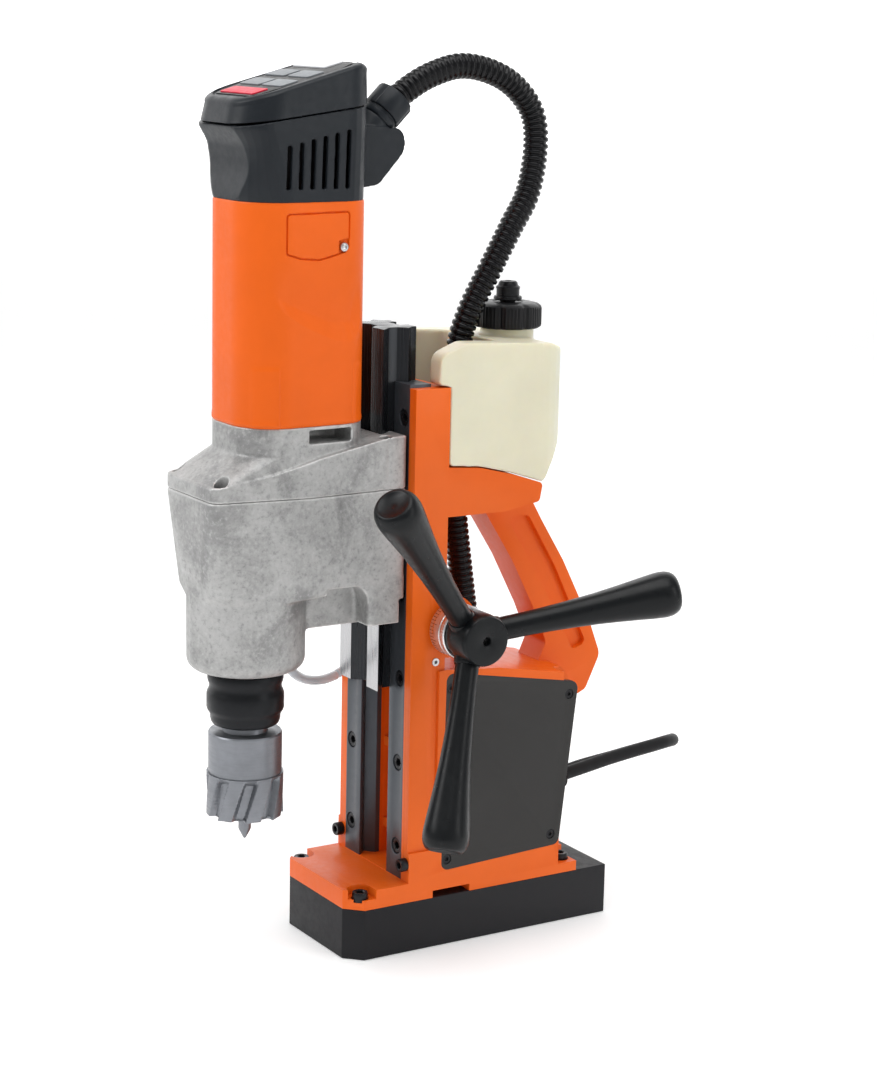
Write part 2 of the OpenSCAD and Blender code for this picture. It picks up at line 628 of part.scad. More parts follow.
module gear_cover() color(raw_cast) difference() {
    union() {
        intersection() {
            translate([0, 0, split_z]) linear_extrude(height = 40) polygon(rounded(case_plan));
            along_x(90) polygon(rounded(cover_side));
        }
        // crowned top that rises to the motor's neck
        hull() {
            translate([0, 0, 304]) linear_extrude(height = 2) polygon(rounded(case_plan));
            translate([0, 0, 320]) linear_extrude(height = 4) polygon(rounded(motor_plan));
        }
        difference() {
            translate([0, 0, 312]) linear_extrude(height = 29) polygon(rounded(motor_plan));
            block([12, 60], [-125, -95], [330.4, 338.6]);
        }
    }
    // gear pockets and bearing seats
    z_rod(25.6, 298, 315.6, 0, lay_y);
    z_rod(7, 304, 316, 0, motor_y);
    z_rod(8.2, 290, 306.2, second_x, second_y);
    z_rod(9.5, 298, 304.6, second_x, second_y);
    z_rod(13, 298, 306, 0, spindle_y);
    z_rod(9.5, 310, 323.2, 0, lay_y);
    z_rod(11, 324, 360, 0, motor_y);
    z_rod(6, 310, 330, 0, motor_y);
    // dovetail socket and screw wells
    translate([0, 0, 280]) linear_extrude(height = 110) polygon([[-24.4, -68.6], [24.4, -68.6],
        [17.4, -60.6], [17.4, -50], [-17.4, -50], [-17.4, -60.6]]);
    for (p = cover_screws_at) {
        z_rod(2.3, 290, 340, p.x, p.y);
        z_rod(4.3, p.z, 340, p.x, p.y);
    }
}

module cover_screws() color(black) for (p = cover_screws_at)
    translate([p.x, p.y, p.z]) cap_screw(2.05, 3.9, 3.6, 16, 2);

motor_bottom = 341;
motor_top = 474;

// Skin of the motor housing, between a depth and its surface
module motor_skin(depth) difference() {
    translate([0, 0, 430]) linear_extrude(height = 44) polygon(rounded(motor_plan));
    translate([0, 0, 420]) linear_extrude(height = 64) polygon(rounded([for (p = motor_plan)
        [p.x - sign(p.x) * depth, p.y + (p.y < motor_y ? depth : -depth), p[2] - depth]]));
}

door_screw = [-102.7, 447.4];

module motor_housing() color(orange) difference() {
    union() {
        difference() {
            translate([0, 0, motor_bottom]) linear_extrude(height = motor_top - motor_bottom)
                polygon(rounded(motor_plan));
            translate([0, 0, motor_bottom + 3]) linear_extrude(height = 140) polygon(rounded(motor_bore));
            // opening for the brushes under the door
            block([30, 60], [-136, -110], [445, 464]);
        }
        x_rod(4, 27, 33, door_screw.x, door_screw.y);
    }
    z_rod(14, 330, 350, 0, motor_y);
    intersection() {
        motor_skin(1.7);
        translate([45, 0, 0]) along_x(40) polygon(rounded(door_seat));
    }
    x_rod(1.6, 26, 60, door_screw.x, door_screw.y);
}

// Door over the brushes and the seat it lies in: y, z, radius
brush_zone = [[-141.5, 467.2, 2], [-141.4, 444, 1.5], [-132.5, 441.6, 12], [-119.3, 440.4, 20],
    [-105.6, 443.3, 0], [-105.6, 450.7, 0], [-99, 452.1, 0], [-99.2, 468, 2]];
door_seat = [[-141.8, 467.5, 2], [-141.7, 443.8, 1.5], [-132.5, 441.2, 12], [-119.3, 440, 20],
    [-98.7, 442.6, 2], [-98.9, 468.3, 2]];

module brush_cover() color(orange) intersection() {
    motor_skin(1.6);
    translate([45, 0, 0]) along_x(40) polygon(rounded(brush_zone));
}

module brush_cover_screw() color(steel) translate([33.1, door_screw.x, door_screw.y])
    rotate([0, 90, 0]) cap_screw(1.6, 2.6, 1.8, 5.2, 1.3);

// Turns children so that local Z runs out along the conduit's collar
module at_collar() translate(collar_at) rotate([collar_tilt, 0, 0]) children();

head_wall = 3;

// The shell flares from the motor's outline to that of the cap
module head_flare(inset, low) hull() {
    translate([0, 0, low]) linear_extrude(height = 0.1) offset(delta = -inset) polygon(rounded(head_foot));
    translate([0, 0, 516]) linear_extrude(height = 16) offset(delta = -inset) polygon(rounded(head_plan));
}

module head_shell() color(charcoal) difference() {
    union() {
        intersection() {
            head_flare(0, motor_top);
            along_x(90) polygon(rounded(head_side));
        }
        along_x(23) polygon(rounded(gusset_side));
        at_collar() z_rod(11, -16, collar_seat, 0, 0);
    }
    intersection() {
        head_flare(head_wall, motor_top + head_wall);
        along_x(90) polygon(rounded(head_hollow));
    }
    z_rod(24, 470, 480, 0, motor_y);
    // vents, each a little taller than the one in front
    for (i = [0:5]) mirrored() block([30, 50], [-142.4 + 8 * i, -139.4 + 8 * i], [481.4, 507 + 1.8 * i]);
    at_collar() {
        z_rod(8.2, -6, 30, 0, 0);
        z_rod(collar_r + body_gap, collar_seat, 40, 0, 0);
    }
}

module head_cap() color(charcoal) difference() {
    intersection() {
        translate([0, 0, 510]) linear_extrude(height = 60) polygon(rounded(head_plan));
        along_x(90) polygon(rounded(cap_side));
    }
    intersection() {
        translate([0, 0, 500]) linear_extrude(height = 70) polygon(rounded(head_bore));
        along_x(90) polygon(rounded(cap_hollow));
    }
    // wells of the six keys
    for (k = key_places) on_panel(k[0], k[1]) translate([0, 0, -6]) linear_extrude(height = 20)
        key_outline(k[2], k[3], key_gap);
}

// Keys: x, distance up the panel, width, length
key_places = [[1, 14.5, 42, 11], [-14, 32, 25, 12], [14, 32, 25, 12], [-17, 51, 25, 12],
    [12, 51, 25, 12], [-9, 71, 40, 13]];
key_gap = 0.35;
key_skin = 2.4;
key_stand = 0.9;

module on_panel(x, up) translate([x, panel_origin.y, panel_origin.z]) rotate([panel_slope, 0, 0])
    translate([0, up, 0]) children();

module key_outline(w, l, gap)
    polygon(rounded([for (s = corner_signs) [s.x * (w / 2 + gap), s.y * (l / 2 + gap), 2]]));

module key(i) on_panel(key_places[i][0], key_places[i][1]) translate([0, 0, -key_skin])
    linear_extrude(height = key_skin + key_stand) key_outline(key_places[i][2], key_places[i][3], 0);

module stop_key() color("#c22033") key(0);
module start_key() color("#d9dbdc") key(5);
module speed_down_key() color("#8f9396") key(1);
module speed_up_key() color("#8f9396") key(2);
module direction_key() color("#8f9396") key(3);
module magnet_key() color("#8f9396") key(4);

module motor_stator() color(steel) difference() {
    z_rod(29.5, 372, 430, 0, motor_y);
    z_rod(20, 370, 432, 0, motor_y);
}

module ball_bearings() color(steel) for (b = bearing_places) translate([b[0], b[1], b[2]]) difference() {
    cylinder(r = b[5], h = b[3]);
    translate([0, 0, -1]) cylinder(r = b[4] + running_gap, h = b[3] + 2);
    for (side = [-1, 1]) translate([0, 0, side > 0 ? b[3] - 0.6 : -1]) difference() {
        cylinder(r = b[5] - 1.4, h = 1.6);
        translate([0, 0, -1]) cylinder(r = b[4] + 1.6, h = 4);
    }
}

module conduit_collar() color(charcoal) at_collar() difference() {
    union() {
        z_rod(8.2, -6, 6, 0, 0);
        z_rod(11.4, collar_seat, 25, 0, 0);
        z_rod(collar_r, 8, 12, 0, 0);
        z_rod(collar_r, 18.5, 25, 0, 0);
    }
    z_rod(conduit_d / 2 + 0.2, 13, 40, 0, 0);
    z_rod(6, -20, 40, 0, 0);
}

// Turns children so that local +Y points out of the nose where the coolant hose joins it
module at_barb() translate([0, spindle_y, 196]) rotate([0, 0, 36.9]) children();

module hose_barb() color(steel) at_barb() {
    y_rod(3, 30, nose_r + eps, 0, 0);
    y_rod(4.6, nose_r, nose_r + 2.4, 0, 0, $fn = 6);
    y_rod(2, nose_r + 2.4 - eps, nose_r + 8, 0, 0);
}

module clamp_lever() color(black) {
    x_rod(4, -52, -28, clamp_y, clamp_z);
    x_rod(7.5, -49, -37.2, clamp_y, clamp_z);
    translate([-46, clamp_y, clamp_z]) rotate([28, 0, 0]) {
        y_rod(4, -44, 0, 0, 0);
        translate([0, -44, 0]) sphere(r = 6);
    }
}

// ---------- turning parts ----------

module armature() color(steel) translate([0, motor_y, 0]) {
    toothed(motor_pinion[0], motor_pinion[1], motor_pinion[2], 10);
    z_rod(3.4, motor_pinion[2] - eps, 324, 0, 0);
    z_rod(4, 324 - eps, 467, 0, 0);
    z_rod(19.4, 374, 428, 0, 0);
    z_rod(11, 438, 454, 0, 0);
    for (i = [0:8]) rotate([0, 0, 40 * i]) block([6, 27], [-0.8, 0.8], [350, 362]);
    z_rod(28, 347.6, 350.2, 0, 0);
}

module first_gear() color(steel) translate([0, lay_y, 0]) {
    toothed(first_wheel[0], first_wheel[1], first_wheel[2], 60);
    toothed(first_pinion[0], first_pinion[1], first_pinion[2], 18);
    z_rod(5, 262, 323, 0, 0);
    z_rod(7, first_pinion[2] - eps, first_wheel[1] + eps, 0, 0);
}

module second_gear() color(steel) translate([second_x, second_y, 0]) {
    toothed(second_wheel[0], second_wheel[1], second_wheel[2], 48);
    toothed(second_pinion[0], second_pinion[1], second_pinion[2], 18);
    z_rod(5, 246, 304.4, 0, 0);
}

chuck_bottom = 155;

module spindle() color(steel) translate([0, spindle_y, 0]) difference() {
    union() {
        z_rod(17, chuck_bottom, 187.6, 0, 0);
        z_rod(12.5, 187, spindle_gear[1] + eps, 0, 0);
        toothed(spindle_gear[0], spindle_gear[1], spindle_gear[2], 48);
        z_rod(8, spindle_gear[2] - eps, 306, 0, 0);
    }
    z_rod(9.55, chuck_bottom - 1, 185, 0, 0);
    z_rod(4.4, 180, 232, 0, 0);
}

module chuck_sleeve() color(black) translate([0, spindle_y, 0]) rotate_extrude() polygon([
    [17 + running_gap, 152.6], [19.5, 152.6], [21.6, 154.6], [21.6, 159], [sleeve_r, 162.4], [sleeve_r, 172.5],
    [22.4, 175.5], [22.4, 178.5], [23.4, 181], [23.4, 184.6], [22, 186], [17 + running_gap, 186]]);

cutter_bottom = 94.3;
tooth_top = 121.7;
cutter_top = 148;

module annular_cutter() color(steel) translate([0, spindle_y, 0]) difference() {
    union() {
        z_rod(cutter_r - 1.2, cutter_bottom, cutter_top, 0, 0);
        z_rod(cutter_r, cutter_bottom + 1, tooth_top, 0, 0);
        z_rod(14, cutter_top - eps, chuck_bottom, 0, 0);
        z_rod(9.5, chuck_bottom - eps, 184, 0, 0);
    }
    z_rod(cutter_r - 4.8, cutter_bottom - 1, 141, 0, 0);
    z_rod(4, 90, 190, 0, 0);
    z_rod(4.4, 167.9, 190, 0, 0);
    for (i = [0:7]) rotate([0, 0, 45 * i])
        block([cutter_r - 3, cutter_r + 4], [-2.2, 2.2], [cutter_bottom - 1, tooth_top - 3]);
}

module pilot_pin() color(steel) translate([0, spindle_y, 0]) {
    z_rod(3.95, 84, 168, 0, 0);
    translate([0, 0, 77.3]) cylinder(r1 = 0.5, r2 = 3.95, h = 6.7 + eps);
    z_rod(4.2, 168 - eps, 171, 0, 0);
}

// ---------- hand wheel ----------

hub_x = [62.8, 86];
arm_angles = [130.5, 10.5, -109.5];
arm_root = [72, 14];
arm_tip_x = 109.5;
arm_run = [arm_tip_x - arm_root[0], wheel_r - arm_root[1]];
arm_tilt = atan2(arm_run[0], arm_run[1]);
arm_len = norm(arm_run);

module pinion_shaft() color(steel) translate([0, wheel_y, wheel_z]) rotate([0, 90, 0]) {
    rotate([0, 0, 90]) toothed_pinion();
    z_rod(shaft_r, -44, -7.5, 0, 0);
    z_rod(shaft_r, 7.5, hub_x[0], 0, 0);
    z_rod(6, hub_x[0] - eps, 80, 0, 0);
    z_rod(11, -47.5, -45.3, 0, 0);
    z_rod(5, -46, -40, 0, 0);
}

module toothed_pinion() {
    tip = pinion_r - mesh_gap;
    root = tip - tooth_depth;
    step = 360 / pinion_teeth;
    outline = [for (i = [0:pinion_teeth - 1]) for (k = [0:3])
        let (a = step * (i + [-0.24, 0.24, 0.42, 0.58][k]), r = k < 2 ? tip : root) r * [cos(a), sin(a)]];
    translate([0, 0, -7.5]) linear_extrude(height = 15) polygon(outline);
}

module wheel_hub() color(black) translate([0, wheel_y, wheel_z]) rotate([0, 90, 0]) difference() {
    rotate_extrude() polygon([[0, hub_x[0]], [15, hub_x[0]], [16.4, hub_x[0] + 3], [16.4, 80],
        [15.6, 84.6], [14.4, hub_x[1]], [0, hub_x[1]]]);
    z_rod(6, hub_x[0] - 1, 80, 0, 0);
    z_rod(2.6, 70, 100, 0, 0);
    rotate([0, -90, 0]) for (a = arm_angles) arm_place(a) z_rod(5, -5, 20, 0, 0);
}

// Turns children so that local Z runs out along the arm at angle a, from the arm's root
module arm_place(a) rotate([a, 0, 0]) translate([arm_root[0], arm_root[1], 0])
    rotate([0, 0, -arm_tilt]) rotate([-90, 0, 0]) children();

module at_wheel() translate([0, wheel_y, wheel_z]) children();

module wheel_arms() color(steel) at_wheel() for (a = arm_angles) arm_place(a) z_rod(5, -4, 82, 0, 0);

module wheel_grips() color(black) at_wheel() for (a = arm_angles) arm_place(a) difference() {
    rotate_extrude() polygon([[0, 5], [7.4, 5], [7.6, 20], [8.2, 40], [9.4, 60], [11.2, 78], [13.2, 93],
        [grip_r, 105], [grip_r, 110], [grip_r - 0.9, 115], [grip_r - 3.2, 118.6], [grip_r - 5, arm_len],
        [grip_r - 7, arm_len - 1.4], [0, arm_len - 1.4]]);
    z_rod(5, 0, 82, 0, 0);
}

module depth_dial() color(steel) at_wheel() difference() {
    union() {
        x_rod(17, 46, 58, 0, 0);
        x_rod(16, 58 - eps, hub_x[0] - body_gap, 0, 0);
    }
    x_rod(shaft_r + running_gap, 40, 70, 0, 0);
}

// ---------- one line per part ----------

magnet_body();
magnet_coil();
magnet_potting();
stand_casting();
guide_rail_left();
guide_rail_right();
rail_screws();
base_screws();
guard_screws();
side_cover_right();
side_cover_left();
side_cover_screws();
control_board();
cord_gland();
power_cord();
cord_coil();
plug();
pinion_bushes();
bush_set_screw();
coolant_tank();
conduit_gland();
conduit_lower();
coolant_hose_rear();
carriage_slide();
feed_rack();
gear_housing();
gear_cover();
cover_screws();
motor_housing();
head_shell();
head_cap();
brush_cover();
brush_cover_screw();
motor_stator();
ball_bearings();
conduit_collar();
hose_barb();
conduit_upper();
coolant_hose_front();
clamp_lever();
armature();
first_gear();
second_gear();
spindle();
chuck_sleeve();
annular_cutter();
pilot_pin();
pinion_shaft();
wheel_hub();
wheel_arms();
wheel_grips();
depth_dial();
tank_cap();
cap_spout();
stop_key();
start_key();
speed_up_key();
speed_down_key();
magnet_key();
direction_key();
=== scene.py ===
"""Looks of the magnetic drill press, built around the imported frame.

Lengths in the tables below are millimetres in the frame of the part; mm() turns them into metres.
"""

import json
import math
import random

import bmesh
import bpy
import numpy as np
from mathutils import Matrix, Vector


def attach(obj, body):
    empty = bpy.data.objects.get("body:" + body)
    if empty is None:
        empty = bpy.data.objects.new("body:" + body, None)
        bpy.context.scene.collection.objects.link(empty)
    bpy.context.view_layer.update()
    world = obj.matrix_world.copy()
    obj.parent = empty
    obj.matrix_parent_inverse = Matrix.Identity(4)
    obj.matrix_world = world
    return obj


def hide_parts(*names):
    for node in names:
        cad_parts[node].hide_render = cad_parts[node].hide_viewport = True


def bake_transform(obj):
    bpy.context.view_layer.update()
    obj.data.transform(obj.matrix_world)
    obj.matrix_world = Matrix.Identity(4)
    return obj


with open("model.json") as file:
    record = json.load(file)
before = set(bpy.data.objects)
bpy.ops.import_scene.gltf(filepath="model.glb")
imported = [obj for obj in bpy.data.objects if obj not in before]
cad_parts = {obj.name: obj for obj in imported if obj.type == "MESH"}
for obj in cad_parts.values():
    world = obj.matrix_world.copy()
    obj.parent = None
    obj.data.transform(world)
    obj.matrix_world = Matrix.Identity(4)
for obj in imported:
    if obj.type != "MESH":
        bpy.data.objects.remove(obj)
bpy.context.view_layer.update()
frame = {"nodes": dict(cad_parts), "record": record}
NODES = frame["nodes"]
RECORD = frame["record"]
BODY_OF = {node: body for body, nodes in RECORD["behaviour"]["bodies"].items() for node in nodes}
SLOT_OF = {part["node"]: part["material_slot"] for part in RECORD["subparts"]}
MM = 0.001
X, Y, Z = Vector((1, 0, 0)), Vector((0, 1, 0)), Vector((0, 0, 1))
random.seed(7)


def mm(*values):
    """A point given in millimetres, in metres."""
    return Vector(values) * MM


# ---------------------------------------------------------------- camera, floor, light

CAMERA_PLACE = mm(1317.7, -835.4, 586.2)
CAMERA_AIM = Vector((-0.82903, 0.51886, -0.20857))
CAMERA_ROLL = math.radians(1.264)
CAMERA_LENS = 82.99


def make_camera():
    data = bpy.data.cameras.new("camera")
    data.lens = CAMERA_LENS
    data.sensor_width = 36.0
    camera = bpy.data.objects.new("camera", data)
    bpy.context.scene.collection.objects.link(camera)
    forward = CAMERA_AIM.normalized()
    right = forward.cross(Z).normalized()
    up = right.cross(forward)
    level_right, level_up = right.copy(), up.copy()
    right = level_right * math.cos(CAMERA_ROLL) + level_up * math.sin(CAMERA_ROLL)
    up = level_up * math.cos(CAMERA_ROLL) - level_right * math.sin(CAMERA_ROLL)
    turn = Matrix((right, up, -forward)).transposed()
    camera.matrix_world = Matrix.Translation(CAMERA_PLACE) @ turn.to_4x4()
    bpy.context.scene.camera = camera


def area_light(name, place, aim, size, power, color=(1, 1, 1)):
    data = bpy.data.lights.new(name, "AREA")
    data.shape = "RECTANGLE"
    data.size, data.size_y = size
    data.energy = power
    data.color = color
    lamp = bpy.data.objects.new(name, data)
    bpy.context.scene.collection.objects.link(lamp)
    lamp.location = place
    lamp.rotation_mode = "QUATERNION"
    lamp.rotation_quaternion = (Vector(aim) - Vector(place)).to_track_quat("-Z", "Y")


def make_stage():
    world = bpy.data.worlds.new("studio")
    world.use_nodes = True
    background = world.node_tree.nodes["Background"]
    background.inputs["Color"].default_value = (1, 1, 1, 1)
    background.inputs["Strength"].default_value = 0.42
    bpy.context.scene.world = world
    bpy.context.scene.view_settings.view_transform = "Standard"
    bpy.context.scene.view_settings.look = "None"
    middle = (0, -0.02, 0.3)
    area_light("key", (-0.5, -1.6, 1.5), middle, (0.9, 1.2), 15)
    area_light("side", (1.7, 0.9, 0.9), middle, (0.5, 1.4), 5.5)
    area_light("top", (0.45, -0.15, 1.9), middle, (1.4, 1.4), 18)
    floor = mesh_piece("floor", [(-30, -30, 0), (30, -30, 0), (30, 30, 0), (-30, 30, 0)], [(0, 1, 2, 3)])
    floor.location.z = -0.0003
    look = Surface("floor_white", (0.93, 0.93, 0.93), 0.75, Emission_Color=(1, 1, 1, 1),
            Emission_Strength=0.22)
    look.vary(0.9, 0.01)
    floor.data.materials.append(look.material)
    wall = mesh_piece("backdrop", [(-30, 9, -1), (30, 9, -1), (30, 9, 12), (-30, 9, 12)], [(0, 1, 2, 3)])
    wall.data.transform(Matrix.Rotation(math.radians(58), 4, "Z"))
    look = Surface("backdrop_white", (0.9, 0.9, 0.9), 0.9, Emission_Color=(1, 1, 1, 1),
            Emission_Strength=1.0)
    look.vary(0.9, 0.01)
    wall.data.materials.append(look.material)


# ---------------------------------------------------------------- meshes

def mesh_piece(name, verts, faces, smooth=None):
    """An object from points and faces; smooth is the angle in degrees up to which it is shaded smooth."""
    mesh = bpy.data.meshes.new(name)
    mesh.from_pydata([tuple(v) for v in verts], [], faces)
    mesh.update()
    piece = bpy.data.objects.new(name, mesh)
    bpy.context.scene.collection.objects.link(piece)
    if smooth is not None:
        shade(piece, smooth)
    return piece


def shade(piece, angle=35):
    """Smooth shading, with edges sharper than the angle kept crisp."""
    mesh = piece.data
    mesh.polygons.foreach_set("use_smooth", [True] * len(mesh.polygons))
    mesh.set_sharp_from_angle(angle=math.radians(angle))
    mesh.update()
    return piece


def from_bmesh(name, bm, smooth=35):
    bmesh.ops.recalc_face_normals(bm, faces=bm.faces)
    mesh = bpy.data.meshes.new(name)
    bm.to_mesh(mesh)
    bm.free()
    piece = bpy.data.objects.new(name, mesh)
    bpy.context.scene.collection.objects.link(piece)
    return shade(piece, smooth)


def apply_modifiers(piece):
    bpy.context.view_layer.update()
    graph = bpy.context.evaluated_depsgraph_get()
    mesh = bpy.data.meshes.new_from_object(piece.evaluated_get(graph))
    piece.modifiers.clear()
    old = piece.data
    piece.data = mesh
    if old.users == 0:
        bpy.data.meshes.remove(old)
    return piece


def modify(piece, kind, **values):
    modifier = piece.modifiers.new(kind.lower(), kind)
    for key, value in values.items():
        setattr(modifier, key, value)
    return apply_modifiers(piece)


def join(name, pieces):
    """One mesh from several objects, which are removed."""
    bm = bmesh.new()
    for piece in pieces:
        piece.data.transform(piece.matrix_world)
        bm.from_mesh(piece.data)
        bpy.data.objects.remove(piece)
    mesh = bpy.data.meshes.new(name)
    bm.to_mesh(mesh)
    bm.free()
    made = bpy.data.objects.new(name, mesh)
    bpy.context.scene.collection.objects.link(made)
    return made


def rounded(corners, steps=8):
    """Outline whose corners (a, b, radius) are rounded by arcs of so many steps."""
    points = []
    count = len(corners)
    for i, (a, b, radius) in enumerate(corners):
        here = Vector((a, b))
        if radius == 0:
            points.append(here)
            continue
        back = (Vector(corners[i - 1][:2]) - here).normalized()
        ahead = (Vector(corners[(i + 1) % count][:2]) - here).normalized()
        half = back.angle(ahead) / 2
        centre = here + (back + ahead).normalized() * radius / math.sin(half)
        start = here + back * radius / math.tan(half) - centre
        end = here + ahead * radius / math.tan(half) - centre
        sweep = start.angle_signed(end)
        for k in range(steps + 1):
            turned = start.copy()
            turned.rotate(Matrix.Rotation(-sweep * k / steps, 2))
            points.append(centre + turned)
    return points


def evenly(points, count, closed=True):
    """The same outline with points at equal distances."""
    pts = np.array([tuple(p) for p in points], float)
    if closed:
        pts = np.vstack([pts, pts[:1]])
    along = np.concatenate([[0], np.cumsum(np.linalg.norm(np.diff(pts, axis=0), axis=1))])
    stops = np.linspace(0, along[-1], count + 1 if closed else count)
    if closed:
        stops = stops[:-1]
    return np.stack([np.interp(stops, along, pts[:, k]) for k in range(pts.shape[1])], axis=1)


def smooth_path(points, count):
    """Evenly spaced points on the smooth curve through the given ones, as the solids follow it."""
    pts = [np.array(p, float) for p in points]
    last = len(pts) - 1
    dense = []
    for step in range(last * 24 + 1):
        s = min(step / 24, last - 1e-6)
        i = int(s)
        u = s - i
        p0, p1, p2, p3 = pts[max(i - 1, 0)], pts[i], pts[i + 1], pts[min(i + 2, last)]
        dense.append(0.5 * (2 * p1 + (p2 - p0) * u + (2 * p0 - 5 * p1 + 4 * p2 - p3) * u * u
                            + (3 * p1 - p0 - 3 * p2 + p3) * u ** 3))
    return evenly(dense, count, closed=False)


def loft(name, rings, caps=True, smooth=40):
    """Skin over rings of points with equal counts, in millimetres."""
    count = len(rings[0])
    verts = [Vector(p) * MM for ring in rings for p in ring]
    faces = []
    for i in range(len(rings) - 1):
        for j in range(count):
            k = (j + 1) % count
            faces.append((i * count + j, i * count + k, (i + 1) * count + k, (i + 1) * count + j))
    if caps:
        faces.append(tuple(reversed(range(count))))
        faces.append(tuple((len(rings) - 1) * count + j for j in range(count)))
    piece = mesh_piece(name, verts, faces)
    bm = bmesh.new()
    bm.from_mesh(piece.data)
    bmesh.ops.recalc_face_normals(bm, faces=bm.faces)
    bm.to_mesh(piece.data)
    bm.free()
    return shade(piece, smooth)


def frame_at(place, axis):
    """Matrix that puts local +Z along axis at a place, both in the frame."""
    turn = Vector(axis).to_track_quat("Z", "Y").to_matrix().to_4x4()
    return Matrix.Translation(Vector(place) * MM) @ turn


def lathe(name, profile, place=(0, 0, 0), axis=(0, 0, 1), around=96, wave=None, smooth=35):
    """Turned solid: profile is (radius, height) from one end of the axis to the other.

    wave(angle, radius, height) gives a radius of its own to each point, for flutes and lobes.
    """
    rings = []
    for radius, height in profile:
        ring = []
        for j in range(around):
            angle = 2 * math.pi * j / around
            r = radius if wave is None else wave(angle, radius, height)
            ring.append((r * math.cos(angle), r * math.sin(angle), height))
        rings.append(ring)
    piece = loft(name, rings, smooth=smooth)
    piece.data.transform(frame_at(place, axis))
    return piece


def tube(name, path, radius, sides=16, radii=None, smooth=60):
    """Round tube along a path; radii may give each ring its own radius."""
    pts = [Vector(p) for p in path]
    rings = []
    side = None
    for i, p in enumerate(pts):
        ahead = (pts[min(i + 1, len(pts) - 1)] - pts[max(i - 1, 0)]).normalized()
        if side is None:
            side = ahead.cross(Z if abs(ahead.z) < 0.9 else X).normalized()
        side = (side - ahead * side.dot(ahead)).normalized()
        other = ahead.cross(side)
        r = radius if radii is None else radii[i]
        rings.append([p + (side * math.cos(a) + other * math.sin(a)) * r
                      for a in (2 * math.pi * j / sides for j in range(sides))])
    return loft(name, rings, smooth=smooth)


def slab(name, outline, axis, low, high, bevel=0.6, segments=2, smooth=35):
    """Plate with the given outline from low to high along X, Y or Z, with its edges rounded."""
    to_frame = {"x": lambda a, b, c: (c, a, b), "y": lambda a, b, c: (a, c, b), "z": lambda a, b,
            c: (a, b, c)}[axis]
    bm = bmesh.new()
    ring = [bm.verts.new(Vector(to_frame(p[0], p[1], low)) * MM) for p in outline]
    face = bm.faces.new(ring)
    grown = bmesh.ops.extrude_face_region(bm, geom=[face])
    moved = [v for v in grown["geom"] if isinstance(v, bmesh.types.BMVert)]
    shift = Vector(to_frame(0, 0, high - low)) * MM
    bmesh.ops.translate(bm, verts=moved, vec=shift)
    bmesh.ops.recalc_face_normals(bm, faces=bm.faces)
    if bevel:
        round_edges(bm, bevel, segments)
    return from_bmesh(name, bm, smooth)


def round_edges(bm, width, segments=2, angle=32):
    edges = [e for e in bm.edges if len(e.link_faces) == 2 and e.calc_face_angle(0) > math.radians(angle)]
    bmesh.ops.bevel(bm, geom=edges, offset=width * MM, segments=segments, profile=0.6,
                    affect="EDGES", clamp_overlap=True)


def cad_copy(node, name=None):
    """Copy of a CAD node's mesh with its flat faces made whole."""
    bm = bmesh.new()
    bm.from_mesh(NODES[node].data)
    bmesh.ops.remove_doubles(bm, verts=bm.verts, dist=2e-6)
    bmesh.ops.dissolve_limit(bm, angle_limit=math.radians(0.6), verts=bm.verts, edges=bm.edges)
    return bm


def softened(node, width=0.4, segments=2, angle=32):
    """A CAD node again, with its edges rounded."""
    bm = cad_copy(node)
    round_edges(bm, width, segments, angle)
    return put(from_bmesh(node + "_soft", bm, 30), node)


def cast(name, pieces, voxel, rounds, cuts=()):
    """One casting from overlapping solids less some cuts, with softly rounded edges and corners."""
    solid = join(name, pieces)
    solid = modify(solid, "REMESH", mode="VOXEL", voxel_size=voxel * MM)
    for cut in cuts:
        solid = modify(solid, "BOOLEAN", operation="DIFFERENCE", object=cut, solver="FAST")
        bpy.data.objects.remove(cut)
    if cuts:
        solid = modify(solid, "REMESH", mode="VOXEL", voxel_size=voxel * MM)
    solid = modify(solid, "SMOOTH", factor=0.5, iterations=rounds)
    return shade(solid, 50)


def cad_object(node):
    bm = cad_copy(node)
    return from_bmesh(node + "_copy", bm)


# ---------------------------------------------------------------- putting pieces in place

def put(piece, node, *more):
    """The piece stands for a CAD node, and for more of them on the same body."""
    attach(piece, BODY_OF[node])
    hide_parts(node, *more)
    finish_with(piece, SLOT_OF[node])
    return piece


def add(piece, node, slot=None):
    """The piece is a detail on the body of a CAD node."""
    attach(piece, BODY_OF[node])
    finish_with(piece, slot or SLOT_OF[node])
    return piece


def finish_with(piece, slot):
    piece.data.materials.clear()
    piece.data.materials.append(LOOKS[slot])


# ---------------------------------------------------------------- materials

